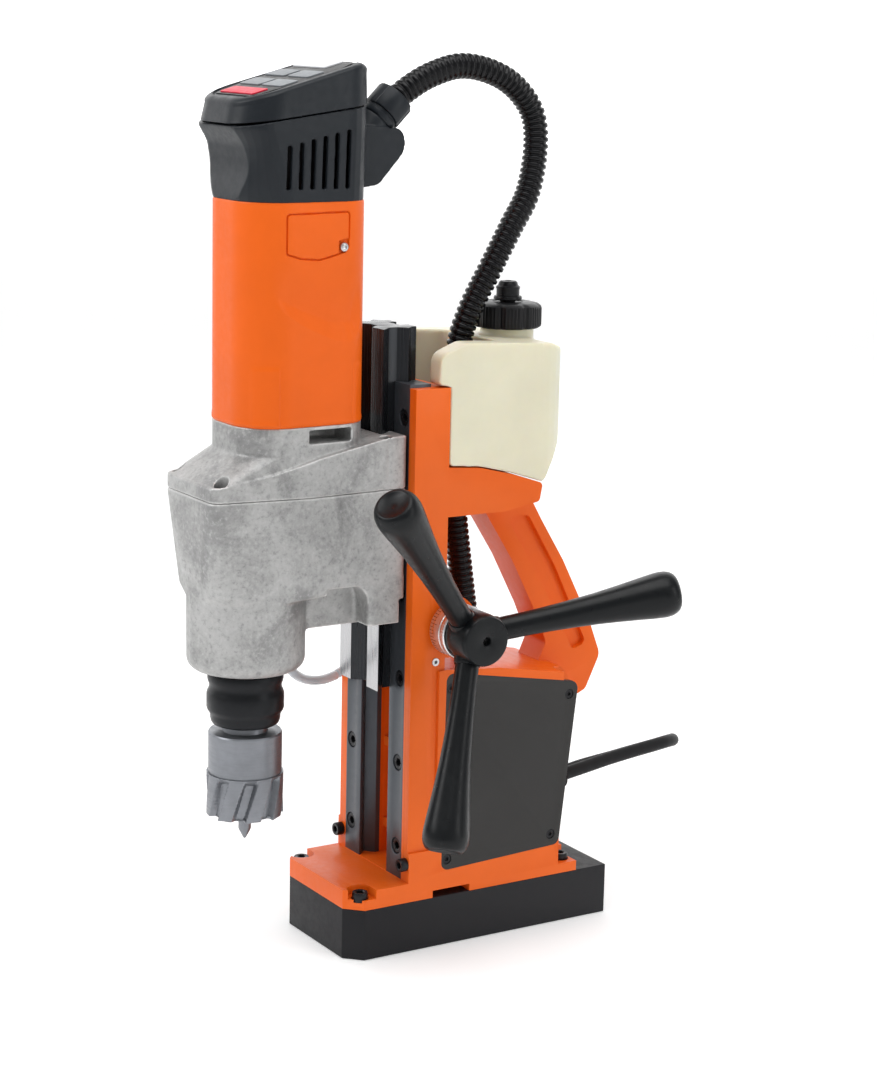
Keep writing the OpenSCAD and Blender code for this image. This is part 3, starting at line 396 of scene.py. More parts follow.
class Surface:
    """A Principled material with short calls for its procedural detail."""

    def __init__(self, name, color, roughness, metallic=0.0, **sockets):
        self.material = bpy.data.materials.new(name)
        self.material.use_nodes = True
        self.tree = self.material.node_tree
        self.shader = self.tree.nodes["Principled BSDF"]
        self.base = (*color, 1.0)
        self.shader.inputs["Base Color"].default_value = self.base
        self.shader.inputs["Roughness"].default_value = roughness
        self.shader.inputs["Metallic"].default_value = metallic
        for key, value in sockets.items():
            self.shader.inputs[key.replace("_", " ")].default_value = value
        self.place = self.tree.nodes.new("ShaderNodeTexCoord").outputs["Object"]
        self.color_now = None
        self.normal_now = None

    def new(self, kind, **values):
        node = self.tree.nodes.new("ShaderNode" + kind)
        for key, value in values.items():
            setattr(node, key, value)
        return node

    def feed(self, socket, value):
        if hasattr(value, "is_linked"):
            self.tree.links.new(value, socket)
        else:
            socket.default_value = value

    def stretched(self, scale):
        """Object coordinates scaled by three factors."""
        node = self.new("Mapping")
        self.feed(node.inputs["Vector"], self.place)
        node.inputs["Scale"].default_value = scale
        return node.outputs["Vector"]

    def noise(self, scale, detail=4.0, roughness=0.5, distortion=0.0, vector=None):
        node = self.new("TexNoise")
        self.feed(node.inputs["Vector"], vector or self.place)
        node.inputs["Scale"].default_value = scale
        node.inputs["Detail"].default_value = detail
        node.inputs["Roughness"].default_value = roughness
        node.inputs["Distortion"].default_value = distortion
        return node.outputs["Fac"]

    def steps(self, value, low, high, to_low=0.0, to_high=1.0):
        """Value mapped smoothly from low..high to to_low..to_high."""
        node = self.new("MapRange", interpolation_type="SMOOTHSTEP")
        self.feed(node.inputs["Value"], value)
        for key, number in (("From Min", low), ("From Max", high), ("To Min", to_low), ("To Max", to_high)):
            node.inputs[key].default_value = number
        return node.outputs["Result"]

    def axis(self, which):
        node = self.new("SeparateXYZ")
        self.feed(node.inputs["Vector"], self.place)
        return node.outputs[which]

    def math(self, operation, a, b=0.0, c=0.0):
        node = self.new("Math", operation=operation)
        for socket, value in zip(node.inputs, (a, b, c)):
            self.feed(socket, value)
        return node.outputs["Value"]

    def pointed(self):
        return self.new("NewGeometry").outputs["Pointiness"]

    def facing(self, which):
        """One component of the surface's own normal in object space, for faces cut from a dark blank."""
        node = self.new("TexCoord")
        parts = self.new("SeparateXYZ")
        self.feed(parts.inputs["Vector"], node.outputs["Normal"])
        return parts.outputs[which]

    def tint(self, amount, color):
        """Mix a colour over what is there by amount, a socket from 0 to 1."""
        node = self.new("Mix", data_type="RGBA")
        self.feed(node.inputs["Factor"], amount)
        self.feed(node.inputs[6], self.color_now or self.base)
        self.feed(node.inputs[7], (*color, 1.0) if isinstance(color, tuple) else color)
        self.color_now = node.outputs[2]
        self.feed(self.shader.inputs["Base Color"], self.color_now)
        return self

    def vary(self, scale, amount, detail=5.0):
        """Slightly lighter and darker patches."""
        value = self.noise(scale, detail, 0.6)
        lighter = tuple(min(1.0, c * (1 + amount) + 0.02 * amount) for c in self.base[:3])
        darker = tuple(c * (1 - amount) for c in self.base[:3])
        self.tint(self.steps(value, 0.45, 0.75), lighter)
        return self.tint(self.steps(value, 0.55, 0.25), darker)

    def polish(self, value):
        self.feed(self.shader.inputs["Roughness"], value)
        return self

    def metal(self, value):
        self.feed(self.shader.inputs["Metallic"], value)
        return self

    def bump(self, height, depth, strength=0.6):
        node = self.new("Bump")
        node.inputs["Strength"].default_value = strength
        node.inputs["Distance"].default_value = depth * MM
        self.feed(node.inputs["Height"], height)
        if self.normal_now:
            self.feed(node.inputs["Normal"], self.normal_now)
        self.normal_now = node.outputs["Normal"]
        self.feed(self.shader.inputs["Normal"], self.normal_now)
        return self


def paint(name, color, roughness, grain=900, depth=0.03, wear=0.12, **sockets):
    """Sprayed or moulded finish: fine texture, faint clouds, edges a touch lighter."""
    sockets.setdefault("Specular_IOR_Level", 0.22)
    look = Surface(name, color, roughness, **sockets)
    look.vary(14, 0.06)
    edge = look.steps(look.pointed(), 0.52, 0.62, 0.0, wear)
    look.tint(edge, tuple(min(1.0, c * 1.6 + 0.05) for c in color))
    dust = look.noise(220, 6, 0.65)
    look.polish(look.steps(dust, 0.3, 0.7, roughness - 0.05, roughness + 0.07))
    look.bump(look.noise(grain, 3, 0.5), depth)
    return look


def raw_aluminium():
    """Blasted sand casting: blotches in several greys, pits, and bright rubbed edges."""
    look = Surface("raw_casting", (0.36, 0.36, 0.355), 0.5, metallic=0.4)
    blotch = look.noise(26, 7, 0.62, 0.6)
    look.tint(look.steps(blotch, 0.42, 0.64), (0.46, 0.46, 0.455))
    look.tint(look.steps(blotch, 0.52, 0.30, 0, 0.8), (0.20, 0.20, 0.20))
    fine = look.noise(330, 6, 0.7)
    look.tint(look.steps(fine, 0.50, 0.72, 0, 0.55), (0.56, 0.56, 0.555))
    look.tint(look.steps(fine, 0.50, 0.30, 0, 0.5), (0.16, 0.16, 0.16))
    look.tint(look.steps(look.pointed(), 0.515, 0.56, 0, 0.75), (0.78, 0.78, 0.77))
    look.polish(look.steps(blotch, 0.3, 0.7, 0.40, 0.60))
    look.bump(look.noise(420, 4, 0.6), 0.18, 0.5)
    look.bump(look.noise(60, 3, 0.5), 0.3, 0.25)
    return look


def turned_steel(name, color, roughness, axis_scale, metallic=1.0):
    """Machined metal with fine marks that run across the stretched axis."""
    look = Surface(name, color, roughness, metallic=metallic)
    marks = look.noise(1.0, 5, 0.6, vector=look.stretched(axis_scale))
    look.vary(60, 0.10)
    look.polish(look.steps(marks, 0.3, 0.7, roughness - 0.08, roughness + 0.12))
    look.bump(marks, 0.02, 0.35)
    return look


def make_looks():
    looks = {}
    looks["orange_paint"] = paint("orange_paint", (0.80, 0.118, 0.004), 0.40, 700, 0.035, Coat_Weight=0.06)
    looks["orange_plastic"] = paint("orange_plastic", (0.80, 0.120, 0.004), 0.42, 1500, 0.015)
    looks["magnet_black"] = paint("magnet_black", (0.008, 0.008, 0.010), 0.42, 600, 0.03)
    looks["copper"] = turned_steel("copper", (0.60, 0.24, 0.10), 0.35, (40, 40, 900))
    looks["potting_resin"] = paint("potting_resin", (0.02, 0.02, 0.02), 0.3)
    looks["rail_steel"] = paint("rail_steel", (0.075, 0.083, 0.095), 0.34, 1200, 0.012, metallic=0.45)
    looks["black_oxide"] = paint("black_oxide", (0.022, 0.022, 0.024), 0.32, 1500, 0.01, metallic=0.6)
    looks["grey_cover"] = paint("grey_cover", (0.034, 0.033, 0.032), 0.42, 1300, 0.03)
    looks["board_green"] = paint("board_green", (0.03, 0.14, 0.05), 0.35)
    looks["black_rubber"] = paint("black_rubber", (0.008, 0.008, 0.009), 0.5, 1500, 0.02)
    looks["bronze"] = turned_steel("bronze", (0.55, 0.33, 0.14), 0.4, (600, 40, 40))
    looks["bright_steel"] = turned_steel("bright_steel", (0.58, 0.58, 0.59), 0.28, (60, 60, 700))
    looks["tank_plastic"] = tank_plastic()
    looks["conduit_plastic"] = paint("conduit_plastic", (0.006, 0.006, 0.007), 0.16, 400, 0.02, wear=0.0)
    looks["clear_hose"] = clear_hose()
    looks["black_anodised"] = anodised()
    looks["raw_casting"] = raw_aluminium()
    looks["charcoal_plastic"] = paint("charcoal_plastic", (0.012, 0.015, 0.019), 0.36, 1400, 0.03,
            wear=0.15)
    looks["lamination_steel"] = turned_steel("lamination_steel", (0.22, 0.22, 0.23), 0.5, (30, 30, 1500))
    looks["sleeve_black"] = paint("sleeve_black", (0.012, 0.013, 0.015), 0.36, 1200, 0.012, metallic=0.3)
    looks["cutter_steel"] = turned_steel("cutter_steel", (0.22, 0.23, 0.25), 0.38, (80, 80, 900), 0.8)
    looks["grip_plastic"] = paint("grip_plastic", (0.004, 0.005, 0.006), 0.32, 1100, 0.02, wear=0.06)
    looks["dial_aluminium"] = turned_steel("dial_aluminium", (0.70, 0.70, 0.71), 0.34, (700, 40, 40))
    looks["cap_plastic"] = paint("cap_plastic", (0.007, 0.007, 0.008), 0.34, 1100, 0.02)
    looks["red_key"] = paint("red_key", (0.62, 0.015, 0.045), 0.38, 1500, 0.01)
    looks["light_key"] = paint("light_key", (0.66, 0.67, 0.69), 0.40, 1500, 0.01)
    looks["grey_key"] = paint("grey_key", (0.20, 0.215, 0.23), 0.40, 1500, 0.01)
    return {slot: look.material for slot, look in looks.items()}


def tank_plastic():
    """Blow-moulded polyethylene: waxy, slightly see-through, a little cloudier where it is thick."""
    look = Surface("tank_plastic", (0.74, 0.70, 0.53), 0.36, Subsurface_Weight=0.35, Subsurface_Scale=0.006)
    look.shader.inputs["Subsurface Radius"].default_value = (1.0, 0.7, 0.35)
    look.vary(18, 0.05)
    look.bump(look.noise(300, 3, 0.5), 0.03)
    return look


def clear_hose():
    look = Surface("clear_hose", (0.70, 0.76, 0.80), 0.18, Transmission_Weight=0.35)
    look.vary(90, 0.05)
    look.bump(look.noise(500, 2, 0.5), 0.01)
    return look


def anodised():
    """Black anodised slide whose front lands and cut ends are bare machined metal."""
    look = Surface("black_anodised", (0.022, 0.024, 0.028), 0.26, metallic=0.55)
    marks = look.noise(1.0, 5, 0.6, vector=look.stretched((500, 40, 6)))
    front = look.steps(look.math("MULTIPLY", look.facing("Y"), -1.0), 0.9, 0.99)
    proud = look.steps(look.axis("Y"), -0.0670, -0.0676)
    under = look.steps(look.math("MULTIPLY", look.facing("Z"), -1.0), 0.9, 0.99)
    lower = look.steps(look.axis("Z"), 0.31, 0.30)
    lands = look.math("MULTIPLY", look.math("MULTIPLY", front, proud), lower)
    bare = look.math("MAXIMUM", lands, under)
    look.tint(bare, (0.46, 0.46, 0.47))
    look.metal(look.steps(bare, 0, 1, 0.55, 1.0))
    look.polish(look.steps(marks, 0.3, 0.7, 0.20, 0.36))
    look.bump(marks, 0.015, 0.3)
    return look


# ---------------------------------------------------------------- cords

CORD_D = 9.0
GLAND_END = (0, 68, 81)
CORD_ROUTE = [GLAND_END, (0, 80, 82.2), (0, 92, 83.6), (0, 110, 86.2), (-0.5, 130, 89), (-0.5, 150, 91.4),
              (-1, 170, 93.2), (-3.3, 181, 93.4), (-9.2, 190.5, 91.6), (-18, 196.8, 88.4), (-28, 199.3, 84),
              (-38, 197.3, 79.3), (-46.6, 191.2, 75), (-52.2, 182, 71.6), (-54, 171, 69.6), (-54, 155,
                      68.2),
              (-54, 140, 66.5), (-54, 128, 64), (-54.5, 116, 59.4), (-55, 104, 51), (-55, 92, 40), (-55,
                      80, 29),
              (-55.5, 68, 18.8), (-57.5, 55, 10.6), (-62.5, 42, 6), (-74, 28, 4.5), (-92.5, 19, 4.5),
              (-112, 16.4, 4.5), (-130, 18.2, 4.5), (-146.7, 21.7, 4.5)]
COIL_AT = (-130, 84)
COIL_MEAN_R = 55.5
COIL_ROWS = 3
COIL_START = math.radians(-105)
COIL_TURNS = 10.11
PLUG_R = 17.5
COIL_TALL = 36.0


def coil_turns():
    """Points of the neat coil: each layer runs in or out by three turns, then steps up to the next."""
    points = []
    steps = 36
    outer = COIL_MEAN_R + CORD_D
    for i in range(1, int(COIL_TURNS * steps)):
        turn = i / steps
        layer = int(turn // COIL_ROWS)
        within = turn - layer * COIL_ROWS
        across = min(within, COIL_ROWS - 1) if within > 0.0 else 0.0
        radius = outer - across * CORD_D if layer % 2 == 0 else outer - (COIL_ROWS - 1 - across) * CORD_D
        rise = max(0.0, within - (COIL_ROWS - 0.25)) / 0.25
        height = CORD_D / 2 + (layer + rise) * CORD_D
        angle = COIL_START - 2 * math.pi * turn
        points.append((COIL_AT[0] + radius * math.cos(angle), COIL_AT[1] + radius * math.sin(angle),
                height))
    return points


def make_power_cord():
    way = [tuple(p) for p in smooth_path(CORD_ROUTE, 110)] + coil_turns()
    cord = tube("power_cord_flex", way, CORD_D / 2, 14)
    put(cord, "power_cord", "cord_coil")
    return cord, [tuple(Vector(p) * MM) for p in way]


CONDUIT_D = 16.0
CONDUIT_LOW = [(0, 15.6, 180), (0, 14.6, 186), (0, 12.6, 197), (0, 9.7, 213.1), (0, 5.5, 240),
        (0, 1.3, 269.9),
               (0, -0.6, 300), (1, -2, 340), (4, -1.4, 379), (8, 4, 403), (9.5, 17.1, 427.9)]
CONDUIT_HIGH = [(9.5, 17.3, 428.2), (10, 31.2, 453.1), (9, 44, 474.6), (7, 50.3, 502.2), (5, 48.6, 523.5),
                (3, 36.4, 539.7), (1.5, 18.5, 549.1), (0, -2.7, 552.2), (0, -24, 546.6), (0, -40, 538.2),
                (0, -50.5, 530.5)]
RIB_PITCH = 4.1


def corrugated(name, route):
    """Conduit of rounded ribs and narrow grooves along a route."""
    coarse = smooth_path(route, 200)
    length = float(np.linalg.norm(np.diff(coarse, axis=0), axis=1).sum())
    ribs = round(length / RIB_PITCH)
    shape = [(0.0, 0.84), (0.10, 0.86), (0.20, 0.97), (0.32, 1.0), (0.62, 1.0), (0.74, 0.97),
            (0.84, 0.86), (0.92, 0.84)]
    stops = [(i + t) / ribs for i in range(ribs) for t, _ in shape] + [1.0]
    radii = [CONDUIT_D / 2 * r for _ in range(ribs) for _, r in shape] + [CONDUIT_D / 2 * 0.84]
    along = np.linspace(0, 1, 200)
    path = [tuple(np.interp(s, along, coarse[:, k]) for k in range(3)) for s in stops]
    centreline = [tuple(Vector(p) * MM) for p in coarse[::4]] + [tuple(Vector(coarse[-1]) * MM)]
    return tube(name, path, 1, 28, radii, smooth=50), centreline, length * MM


HOSE_D = 6.0
HOSE_FRONT = [(-24.5, -116, 196), (-27.5, -111, 190), (-30.5, -105, 180), (-36, -95, 168.5),
        (-43, -82, 161),
              (-47.5, -68, 158), (-50.8, -56, 158.9)]
HOSE_REAR = [(-51.1, -54.4, 159.6), (-53.5, -43.5, 165), (-54.5, -33, 184), (-54, -24, 212),
        (-52.5, -16, 244),
             (-50.5, -8, 276), (-48.6, -2, 300), (-46.4, 1, 315), (-43, 2, 320)]


def held_tube(piece, node):
    """Stands a conduit or hose in for its CAD node: hides the node, gives the tube that node's finish and
    bakes its placing into the mesh.
    """
    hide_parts(node)
    finish_with(piece, SLOT_OF[node])
    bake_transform(piece)


def make_cords():
    power, power_path = make_power_cord()
    plug = make_plug()
    gland = make_gland()
    low, low_path, low_length = corrugated("conduit_low_ribbed", CONDUIT_LOW)
    high, high_path, high_length = corrugated("conduit_high_ribbed", CONDUIT_HIGH)
    held_tube(low, "conduit_lower")
    held_tube(high, "conduit_upper")
    for name, route, node, bodies in (("hose_front_tube", HOSE_FRONT, "coolant_hose_front",
            ("drill_unit", "carriage")),
                                      ("hose_rear_tube", HOSE_REAR, "coolant_hose_rear",
                                       ("carriage", "stand"))):
        way = smooth_path(route, 60)
        held_tube(tube(name, way, HOSE_D / 2, 16), node)


def make_gland():
    profile = [(0, -4), (11.6, -4), (12, -3.4), (12, -1.2), (9.2, -0.8), (9, 0), (9, 7.4), (8.6, 8.4)]
    for i in range(9):
        wide = 8.4 - 0.24 * i
        height = 9.4 + i * 2.3
        profile += [(wide, height), (wide, height + 1.3), (wide - 0.9, height + 1.6),
                (wide - 0.9, height + 2.1)]
    profile += [(5.9, 30.2), (4.6, 30.4), (0, 30.4)]
    return put(lathe("cord_gland_boot", profile, (0, 62, 81), (0, 1, 0), 64), "cord_gland")


def make_plug():
    """Moulded two-pin plug lying across the coil, with a ribbed neck and grip hollows."""
    place = (COIL_AT[0] - COIL_MEAN_R, COIL_AT[1] - 6, COIL_TALL + PLUG_R)
    profile = [(0, -34), (5.0, -34), (5.3, -33.4)]
    for i in range(6):
        profile += [(5.5 + i * 0.35, -32 + i * 4.2), (5.7 + i * 0.35, -29.6 + i * 4.2),
                (4.8 + i * 0.3, -29.2 + i * 4.2)]
    profile += [(8.6, -6), (11.5, -2), (14.2, 5), (15, 9), (15, 12), (17.2, 14), (17.5, 15), (17.5, 29),
            (17, 30), (0, 30)]
    body = lathe("plug_body", profile, place, (0, 1, 0), 64,
                 wave=lambda a, r, h: r * (1 - 0.10 * math.cos(2 * a) ** 4 * (1 if 0 < h < 13 else 0)))
    pins = [lathe("plug_pin", [(0, 29), (2.4, 29), (2.4, 46.8), (2.0, 48.6), (1.0, 49), (0, 49)],
                  (place[0] + s * 9.5, place[1], place[2]), (0, 1, 0), 24) for s in (-1, 1)]
    pins = join("plug_pins", pins)
    shade(pins)
    add(pins, "plug", "bright_steel")
    return put(body, "plug")


# ---------------------------------------------------------------- screws

def hex_radius(angle, across_corners):
    """Radius of a hexagon at an angle."""
    part = (angle % (math.pi / 3)) - math.pi / 6
    return across_corners * math.cos(math.pi / 6) / math.cos(part)


def socket_screw(place, axis, head_r, head_h, shank_r, shank_l, key_r):
    """Socket head screw with a knurled, chamfered head; place is under the head."""
    key_floor = head_h * 0.45
    profile = [(0, -shank_l), (shank_r * 0.8, -shank_l), (shank_r, -shank_l + shank_r * 0.3), (shank_r, 0),
               (head_r * 0.96, 0), (head_r, head_h * 0.06), (head_r, head_h * 0.86), (head_r * 0.92,
                       head_h),
               (key_r * 1.16, head_h), (key_r * 1.03, head_h - 0.12 * key_r), (key_r, key_floor), (0,
                       key_floor - 0.3 * key_r)]

    def wave(angle, radius, height):
        if height >= key_floor - 0.001 and radius <= key_r * 1.1:
            return hex_radius(angle, radius)
        if radius == head_r:
            return radius * (1 + 0.012 * math.cos(30 * angle))
        return radius

    return lathe("screw", profile, place, axis, 60, wave, smooth=30)


def screw_group(node, places, axes, *sizes):
    screws = [socket_screw(p, a, *sizes) for p, a in zip(places, axes)]
    group = join(node + "_made", screws)
    shade(group, 30)
    return put(group, node)


def make_screws():
    rail_places = [(s * 28.7, -49.0, 66 + 55 * i) for s in (-1, 1) for i in range(6)]
    screw_group("rail_screws", rail_places, [(0, -1, 0)] * 12, 5, 6, 2.6, 14, 2.6)
    foot = [(38.2, -87, 37.6), (-38.2, -87, 37.6), (35.5, 67, 37.6), (-35.5, 67, 37.6)]
    screw_group("base_screws", foot, [(0, 0, 1)] * 4, 5, 6, 3, 14.5, 2.6)
    screw_group("guard_screws", [(40.7, -55.6, 57), (-40.7, -55.6, 57)], [(0, -1, 0)] * 2, 4.25, 5, 2,
            11.5, 2.3)
    cover = [(-26.8, 169.6), (63.6, 154.4), (52.2, 61.2), (-27.2, 57)]
    places = [(s * 42, y, z) for s in (-1, 1) for y, z in cover]
    screw_group("side_cover_screws", places, [(s, 0, 0) for s in (-1, 1) for _ in cover], 3.2, 2.4, 1.6,
            6.5, 1.4)
    wells = [(s * x, y, 303) for x, y in ((28, -180), (32.4, -70.5)) for s in (1, -1)]
    screw_group("cover_screws", wells, [(0, 0, 1)] * 4, 3.9, 3.6, 2, 15, 2)


# ---------------------------------------------------------------- foot and stand

def make_foot():
    softened("magnet_body", 0.7, 3)


def make_stand():
    softened("stand_casting", 0.8, 3, 20)
    softened("guide_rail_right", 0.4)
    softened("guide_rail_left", 0.4)
    softened("side_cover_right", 0.8, 3)
    softened("side_cover_left", 0.8, 3)
    softened("carriage_slide", 0.35)
    softened("feed_rack", 0.12, 1)


# ---------------------------------------------------------------- hand wheel

WHEEL_AT = (0, -27.8, 209.3)
ARM_ANGLES = (130.5, 10.5, -109.5)
ARM_ROOT = (72, 14)
ARM_TIP = (109.5, 127.6)


def arm_frame(angle):
    """Place and direction of one arm."""
    out = Vector((0, math.cos(math.radians(angle)), math.sin(math.radians(angle))))
    root = Vector(WHEEL_AT) + X * ARM_ROOT[0] + out * ARM_ROOT[1]
    tip = Vector(WHEEL_AT) + X * ARM_TIP[0] + out * ARM_TIP[1]
    return root, tip


def make_wheel():
    flat = 119.6
    profile = [(0, -2), (6.2, -2), (7.2, 0), (7.4, 6), (7.5, 20), (7.9, 34), (8.7, 50), (9.9, 66),
            (11.3, 80), (12.7, 92),
               (13.8, 101), (14.4, 107), (14.5, 110), (14.2, 113.5), (13.3, 116.4), (12.0, 118.4), (10.6,
                       119.4),
               (9.7, 119.5), (8.9, 119.0), (6.0, 118.3), (3.0, 118.0), (0, 117.9)]

    def flutes(angle, radius, height):
        """Four shallow hollows along the flare of the grip."""
        along = max(0.0, min(1.0, (height - 52) / 14)) * max(0.0, min(1.0, (114 - height) / 10))
        hollow = max(0.0, math.cos(2 * angle)) ** 6 + max(0.0, -math.cos(2 * angle)) ** 6
        return radius * (1 - 0.035 * along * hollow)

    grips = []
    rods = []
    for angle in ARM_ANGLES:
        root, tip = arm_frame(angle)
        grips.append(lathe("grip", profile, root, tip - root, 72, flutes, smooth=60))
        rods.append(lathe("rod", [(0, -4), (4.6, -4), (5, -3.5), (5, 70), (0, 70)], root, tip - root, 32))
    grips = join("wheel_grips_moulded", grips)
    shade(grips, 60)
    put(grips, "wheel_grips")
    put(shade(join("wheel_rods", rods)), "wheel_arms")
    hub = [lathe("hub",
            [(0, 62.8), (14.4, 62.8), (15.6, 63.4), (16.2, 65.5), (16.4, 70), (16.4, 78), (16.2, 82),
            (15.9, 84.6),
                         (15.2, 85.7), (14.2, 86), (3.4, 86), (2.9, 85.7), (2.6, 85.0), (2.6, 80), (0,
                                 79.4)], WHEEL_AT, (1, 0, 0), 96)]
    for angle in ARM_ANGLES:
        root, tip = arm_frame(angle)
        hub.append(lathe("boss", [(0, -9), (8.6, -9), (8.9, -2), (8.5, 3.0), (7.9, 4.4), (0, 4.4)], root,
                tip - root, 48))
    put(shade(join("wheel_hub_moulded", hub)), "wheel_hub")
    make_dial()


def make_dial():
    """Turned dial: fine knurl on the rim nearest the hub, and a scale of engraved lines."""
    profile = [(8.05, 45.9), (16.4, 45.9), (17, 46.5), (17, 56.6), (16.7, 57.2), (16.7, 57.5), (17, 58),
            (17, 61.6), (16.4, 62.2), (8.05, 62.2)]

    def knurl(angle, radius, height):
        ridged = radius == 17 and height > 57.8
        return radius * (1 + 0.008 * math.cos(60 * angle)) if ridged else radius

    dial = lathe("depth_dial_turned", profile, WHEEL_AT, (1, 0, 0), 180,
                 wave=knurl, smooth=25)
    put(dial, "depth_dial")
    lines = []
    for i in range(50):
        long = 6.5 if i % 5 == 0 else 4.0
        angle = 2 * math.pi * i / 50
        mark = slab("line", [(46.8, -0.14), (46.8 + long, -0.14), (46.8 + long, 0.14), (46.8, 0.14)], "z",
                16.9, 17.06, 0)
        turn = Matrix.Rotation(angle, 4, "X")
        mark.data.transform(Matrix.Translation(Vector(WHEEL_AT) * MM) @ turn)
        lines.append(mark)
    add(join("depth_dial_lines", lines), "depth_dial", "black_oxide")


# ---------------------------------------------------------------- tool

SPINDLE_AT = (0, -148.7, 0)


def make_sleeve():
    profile = [(17.1, 152.6), (19.2, 152.6), (20.4, 153.2), (21.2, 154.4), (21.7, 156.5), (21.8, 158.6),
            (22.4, 160.2), (23.5, 161.8),
               (24, 163.4), (24, 171.6), (23.5, 173.4), (22.7, 175.0), (22.4, 176.6), (22.5,
                       178.4), (23.2, 180), (23.5, 181.6),
               (23.5, 184.0), (22.9, 185.5), (21.6, 186), (17.1, 186)]
    put(lathe("chuck_sleeve_turned", profile, SPINDLE_AT, around=128), "chuck_sleeve")


TEETH = 8


def make_cutter():
    """Shell cutter: plain ground body, and below a step the slanted gullets between its teeth."""
    body = [(0, 141.6), (19.2, 141.6), (19.2, 120), (22.8, 120), (22.8, 122), (22.9, 146.8),
            (22.3, 147.8), (21.6, 148),
            (14.2, 148), (14, 148.4), (14, 155), (9.5, 155), (9.5, 184), (0, 184)]
    shell = lathe("cutter_body", body, SPINDLE_AT, around=128, smooth=30)
    around = 24 * TEETH
    rings = []
    heights = [94.3 + 27.4 * i / 40 for i in range(41)]

    def outer(j, z):
        """Outer radius: full on the land, less in the gullet; the gullet leans back as it climbs."""
        lean = (z - 94.3) * 0.42 / 24
        phase = (j / 24 - lean) % 1.0
        depth = 3.6
        if phase < 0.34:
            fall = 1.0
        elif phase < 0.40:
            fall = 1 - (phase - 0.34) / 0.06
        elif phase > 0.93:
            fall = (phase - 0.93) / 0.07
        else:
            fall = 0.0
        runout = max(0.0, min(1.0, (z - 117.5) / 4.0))
        return 24 - depth * fall * (1 - runout) - 0.1

    def bottom(j, z):
        """Cutting end: each tooth rises a little behind its edge."""
        phase = (j / 24) % 1.0
        return z + (2.6 * max(0.0, phase - 0.40) if phase > 0.40 else 2.4)

    for z in heights:
        ring = []
        for j in range(around):
            a = 2 * math.pi * j / around
            r = outer(j, z)
            ring.append((r * math.cos(a), r * math.sin(a), bottom(j, z) if z == heights[0] else z))
        rings.append(ring)
    rings.append([(19.2 * math.cos(2 * math.pi * j / around), 19.2 * math.sin(2 * math.pi * j / around),
            121.7) for j in range(around)])
    for z in reversed(heights[::8]):
        rings.append([(19.2 * math.cos(2 * math.pi * j / around), 19.2 * math.sin(2 * math.pi * j / around),
                       bottom(j, z) + 0.6 if z == heights[0] else z) for j in range(around)])
    rings.append(rings[0])
    teeth = loft("cutter_teeth", rings, caps=False, smooth=28)
    teeth.data.transform(Matrix.Translation(Vector(SPINDLE_AT) * MM))
    put(shade(join("annular_cutter_ground", [shell, teeth]), 28), "annular_cutter")
    pin = [(0, 77.3), (0.7, 77.8), (3.6, 83.2), (3.95, 84.4), (3.95, 110), (3.6, 111), (3.6, 128),
           (3.95, 129), (3.95, 171), (0, 171)]
    put(lathe("pilot_pin_ground", pin, SPINDLE_AT, around=48), "pilot_pin")


# ---------------------------------------------------------------- gear case

def make_case():
    parts = [cad_object("gear_housing")]
    parts.append(slab("parting_rib", [(-2.2, 197), (2.2, 197), (2.6, 236), (-2.6, 236)], "y", -185.7,
            -180, 0.4))
    housing = cast("gear_housing_cast", parts, 0.9, 5)
    put(housing, "gear_housing")
    cover = cast("gear_cover_cast", [cad_object("gear_cover")], 0.75, 3)
    put(cover, "gear_cover")


# ---------------------------------------------------------------- motor housing

MOTOR_PLAN = [(-37, -164.5, 27), (37, -164.5, 27), (33.5, -80, 22), (-33.5, -80, 22)]
# Measured points of the brush door, its screw's pocket and the relief band: y, z (and corner radius)
DOOR = [(-141.5, 444, 1.5), (-132, 441.2, 0), (-119.3, 440.1, 0), (-105.6, 443.2, 0.5),
        (-105.6, 450.8, 0.5),
        (-98.9, 452, 0.5), (-98.9, 468, 2), (-141.5, 467.2, 2)]
SCREW_POCKET = [(-105.2, 450.4), (-98.9, 451.6), (-98.9, 447.2), (-101.5, 444.2), (-105.2, 443.2)]
RIBBON_Y = (-151, -141.6, -129.6, -117.4, -110.2, -102.7, -94)
RIBBON_TOP = (421.4, 415.8, 410.6, 405.9, 402.8, 402.2, 402.1)
RIBBON_LOW = (414.7, 408.8, 401.4, 395.7, 393.0, 390.8, 391.6)
RIBBON_DEPTH = 3.2


def inside(point, outline):
    """Whether a point lies inside an outline."""
    a, b = point
    hit = False
    for i in range(len(outline)):
        (a0, b0), (a1, b1) = outline[i - 1], outline[i]
        if (b0 > b) != (b1 > b) and a < (a1 - a0) * (b - b0) / (b1 - b0) + a0:
            hit = not hit
    return hit


def distance_to(point, outline):
    """Distance from a point to an outline's line."""
    best = 1e9
    for i in range(len(outline)):
        a, b = np.array(outline[i - 1][:2]), np.array(outline[i][:2])
        d = b - a
        t = max(0.0, min(1.0, float(np.dot(np.array(point) - a, d) / max(np.dot(d, d), 1e-9))))
        best = min(best, float(np.linalg.norm(a + d * t - point)))
    return best


def soft(value, low, high):
    """Smooth step from 0 at low to 1 at high."""
    t = max(0.0, min(1.0, (value - low) / (high - low)))
    return t * t * (3 - 2 * t)


